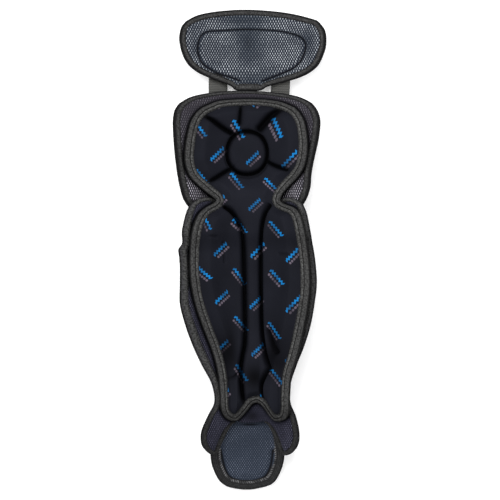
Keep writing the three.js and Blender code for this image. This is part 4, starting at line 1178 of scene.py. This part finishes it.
# Columns: points, width and depth in mm.
GROOVES = [
    (knee_points((-0.12, 0.12), (-0.135, 0.2), (-0.15, 0.29)), 1.6, 5.0),
    (knee_points((-0.76, 0.23), (-0.5, 0.33), (-0.3, 0.39)), 3.2, 6.5),
    (knee_points((0.57, 0.16), (0.4, 0.23), (0.2, 0.34)), 6.0, 8.0),
    (knee_points((0.33, 0.64), (0.5, 0.69), (0.68, 0.73)), 2.4, 5.5),
    (knee_points((-0.28, 0.71), (-0.45, 0.76), (-0.66, 0.83)), 2.4, 5.5),
    (
        shin_points((-0.44, 0.025), (-0.3, 0.05), (-0.19, 0.08), (-0.12, 0.11), (-0.09, 0.15),
                    (-0.075, 0.24), (-0.06, 0.4), (-0.06, 0.56), (-0.1, 0.61), (-0.13, 0.66),
                    (-0.12, 0.71), (-0.1, 0.76), (-0.07, 0.79)),
        3.2,
        9.5,
    ),
    (
        shin_points((0.4, 0.02), (0.32, 0.055), (0.26, 0.1), (0.23, 0.16), (0.225, 0.24),
                    (0.235, 0.39), (0.26, 0.5), (0.31, 0.57), (0.36, 0.61), (0.44, 0.655)),
        3.2,
        9.5,
    ),
    (shin_points((0.44, 0.655), (0.34, 0.69), (0.28, 0.72), (0.27, 0.77), (0.27, 0.8)), 3.0, 8.0),
    (shin_points((0.42, 0.51), (0.5, 0.56), (0.58, 0.59)), 3.0, 4.5),
    (shin_points((-0.53, 0.165), (-0.505, 0.2), (-0.5, 0.24)), 1.8, 2.2),
    (shin_points((-0.75, 0.14), (-0.66, 0.143)), 1.8, 2.0),
    (shin_points((0.64, 0.21), (0.78, 0.212)), 1.8, 2.0),
    (shin_points((-0.14, 0.665), (-0.3, 0.69), (-0.42, 0.7)), 2.6, 4.0),
]
GROOVE_LINES = [(curve_through(points, 10), width, depth) for points, width, depth in GROOVES]
DEEP_GROOVE = 4  # mm, from which a groove parts two cushions
RIM_DEPTH, RIM_WIDTH = 7.5, 2.4
LIP_DEPTH, LIP_WIDTH, LIP_OUTSIDE = 2.6, 1.6, 5
print("grooves:", len(GROOVE_LINES), "and the disc's rim")


# %% Height and hollows of the liner
def liner_grooves(grid):
    """How deep each point lies in a groove in mm, and how far it is from the nearest one."""
    nearest = np.full(grid.shape[:-1], 1e9)
    pressed = np.zeros(grid.shape[:-1])
    for line, width, depth in GROOVE_LINES:
        gap = distance_to_line(grid, line)
        pressed = np.maximum(pressed, depth * np.exp(-((gap / width) ** 2)))
        if depth > DEEP_GROOVE:
            nearest = np.minimum(nearest, gap)
    from_disc = np.hypot(grid[..., 0] - DISC_CENTRE[0], grid[..., 1] - DISC_CENTRE[1])
    rim = np.abs(from_disc - DISC_RADIUS)
    pressed = np.maximum(pressed, RIM_DEPTH * np.exp(-((rim / RIM_WIDTH) ** 2)))
    lip = np.abs(from_disc - DISC_RADIUS - LIP_OUTSIDE)
    below = smooth((DISC_CENTRE[1] - grid[..., 1]) / 12)
    pressed = np.maximum(pressed, LIP_DEPTH * below * np.exp(-((lip / LIP_WIDTH) ** 2)))
    return pressed, np.minimum(nearest, rim)


def liner_top(grid, distance):
    """The cushion's height: crowned between grooves, with the grooves pressed into it."""
    pressed, nearest = liner_grooves(grid)
    height = mix(5.0, 12.0, round_over(distance / 15))
    crown = 6.0 * round_over(nearest / 22)
    return height + (crown - pressed) * smooth(distance / 8) + 0.25 * waves(grid, 50, 11)


# Painted shade on the lower side cushions and the lower spine, where they lie in shadow.
# Columns: x, y, width and length in mm, amount.
SHADED_HOLLOWS = [
    (-34, shin_y(0.595), 13, 34, 0.9),
    (44, shin_y(0.59), 13, 34, 0.9),
    (8, shin_y(0.69), 15, 17, 0.95),
]
print("hollows:", [(x, round(y)) for x, y, *_ in SHADED_HOLLOWS])


def liner_shade(grid):
    """0 to 1 for the painted shade on the cloth: in grooves, round the disc and in the hollows."""
    pressed, nearest = liner_grooves(grid)
    # Painted shade round the disc and near the deep grooves on the knee.
    round_disc = 0.6 * np.exp(-((nearest / 5) ** 2)) * smooth((grid[..., 1] - 10) / 20)
    return np.minimum(pressed / 8 + round_disc + dim(grid, *SHADED_HOLLOWS), 1)


# %% Make the liner
liner = pad_mesh(
    "liner_cushion", "liner", (330, 120), LINER_TAPE, liner_bottom, liner_top, LINER_CLOTH, liner_shade
)
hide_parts("liner")

# %% [markdown]
# ## Edge tapes
# Each tape is a rounded strip folded over the pad's edge: it rises from the outside, rolls
# over, and ends in a thin sewn lip on the pad. The liner's piping is fuller than the rest.

# %% Sections of the tapes, as shares inwards and upwards
def half_round(fullness, lip):
    angles = np.linspace(math.pi * 1.05, 0.16 * math.pi, 9)
    roll = [(0.5 + 0.5 * math.cos(a), 0.42 + fullness * math.sin(a) * 0.6) for a in angles]
    return [(0.08, 0.05), *roll, (1.0, lip), (1.0, 0.08)]


FLAT_TAPE = half_round(0.95, 0.72)
PIPED_TAPE = [
    (0.06, 0.05), (0.0, 0.4), (0.03, 0.75), (0.1, 0.98), (0.2, 1.08), (0.3, 1.04), (0.37, 0.9),
    (0.44, 1.03), (0.58, 1.12), (0.74, 1.08), (0.9, 0.9), (1.0, 0.6), (1.0, 0.08),
]
print("tape sections of", len(FLAT_TAPE), "and", len(PIPED_TAPE), "points")

# %% Make the tapes
TAPE_ROWS = [
    ("thigh", (120, 150), TAPE, FLAT_TAPE, flat_bottom, TAPE_CLOTH),
    ("knee", (130, 120), TAPE, FLAT_TAPE, flat_bottom, TAPE_CLOTH),
    ("shin", (260, 150), TAPE, FLAT_TAPE, shin_bottom, SHIN_TAPE_CLOTH),
    ("instep", (120, 80), TAPE, FLAT_TAPE, instep_bottom, TOE_TAPE_CLOTH),
    ("liner", (330, 150), LINER_TAPE, PIPED_TAPE, liner_bottom, PIPING_CLOTH),
]
for name, size, tape, section, bottom, material in TAPE_ROWS:
    strip = tape_mesh(f"{name}_tape_knit", name, size, tape, section, bottom, material)
    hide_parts(f"{name}_tape")

# %% [markdown]
# ## Shells, straps and rivets
# The hard parts are copies of the CAD solids. Their triangles are merged and turned to
# quads, and a subdivision rounds the facets away.

# %% Round a CAD solid's copy
def rounded_copy(node, name, material, levels):
    """A merged and rounded copy of a CAD solid, which it stands for."""
    bpy.ops.object.select_all(action="DESELECT")
    piece = bpy.data.objects.new(name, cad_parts[node].data.copy())
    bpy.context.collection.objects.link(piece)
    piece.select_set(True)
    bpy.context.view_layer.objects.active = piece
    bpy.ops.object.mode_set(mode="EDIT")
    bpy.ops.mesh.select_all(action="SELECT")
    bpy.ops.mesh.remove_doubles(threshold=0.02 * MM)
    bpy.ops.mesh.tris_convert_to_quads(face_threshold=0.7, shape_threshold=1.2)
    bpy.ops.object.mode_set(mode="OBJECT")
    piece.data.materials.clear()
    piece.data.materials.append(material)
    if levels:
        modifier = piece.modifiers.new("round", "SUBSURF")
        modifier.levels = modifier.render_levels = levels
    bpy.ops.object.shade_smooth()
    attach(piece, "root")
    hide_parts(node)
    print(f"{name}: {len(piece.data.polygons)} faces before rounding")


# %% Shells
for part in ("thigh", "knee", "shin", "instep"):
    rounded_copy(f"{part}_shell", f"{part}_shell_moulded", SHELL_PLASTIC, 2)

# %% Straps and rivets
for side in ("left", "right"):
    rounded_copy(f"thigh_strap_{side}", f"strap_webbing_{side}", WEBBING, 1)
    for place in ("thigh", "knee", "waist", "instep"):
        rounded_copy(f"rivet_{place}_{side}", f"rivet_head_{place}_{side}", RIVET_STEEL, 1)

# %% [markdown]
# ## Floor and light
# The floor is plain and nearly white. A wide soft light overhead and two fill lights from the
# sides give the even light of a studio.

# %% Floor
bpy.ops.object.select_all(action="DESELECT")
bpy.ops.mesh.primitive_plane_add(size=12, location=(0, 0, 0))
floor = bpy.context.object
floor.name = "floor"
PAPER = new_material("white paper, matt", 0.95, Base_Color="#f6f6f6", Specular_IOR_Level=0.1,
                     Emission_Color="#ffffff", Emission_Strength=0.25)[0]
floor.data.materials.append(PAPER)
print("floor:", tuple(floor.dimensions))


# %% Lights
def area_light(name, place, size, power):
    data = bpy.data.lights.new(name, "AREA")
    data.shape = "DISK"
    data.size = size
    data.energy = power
    lamp = bpy.data.objects.new(name, data)
    bpy.context.scene.collection.objects.link(lamp)
    lamp.location = place
    lamp.rotation_euler = Vector(place).to_track_quat("Z", "Y").to_euler()


# Columns: name, place and size in metres, power in watts.
LIGHTS = [
    ("overhead", (-0.4, 1.3, 2.4), 2.0, 52),
    ("left_fill", (-1.8, -0.3, 1.5), 1.4, 22),
    ("right_fill", (1.8, 0.3, 1.5), 1.4, 20),
]
for row in LIGHTS:
    area_light(*row)
world = bpy.data.worlds.new("studio")
world.use_nodes = True
background = world.node_tree.nodes["Background"]
background.inputs["Color"].default_value = srgb("#ffffff")
background.inputs["Strength"].default_value = 0.75
bpy.context.scene.world = world
bpy.context.scene.view_settings.view_transform = "Standard"
print("lights:", [name for name, *_ in LIGHTS])
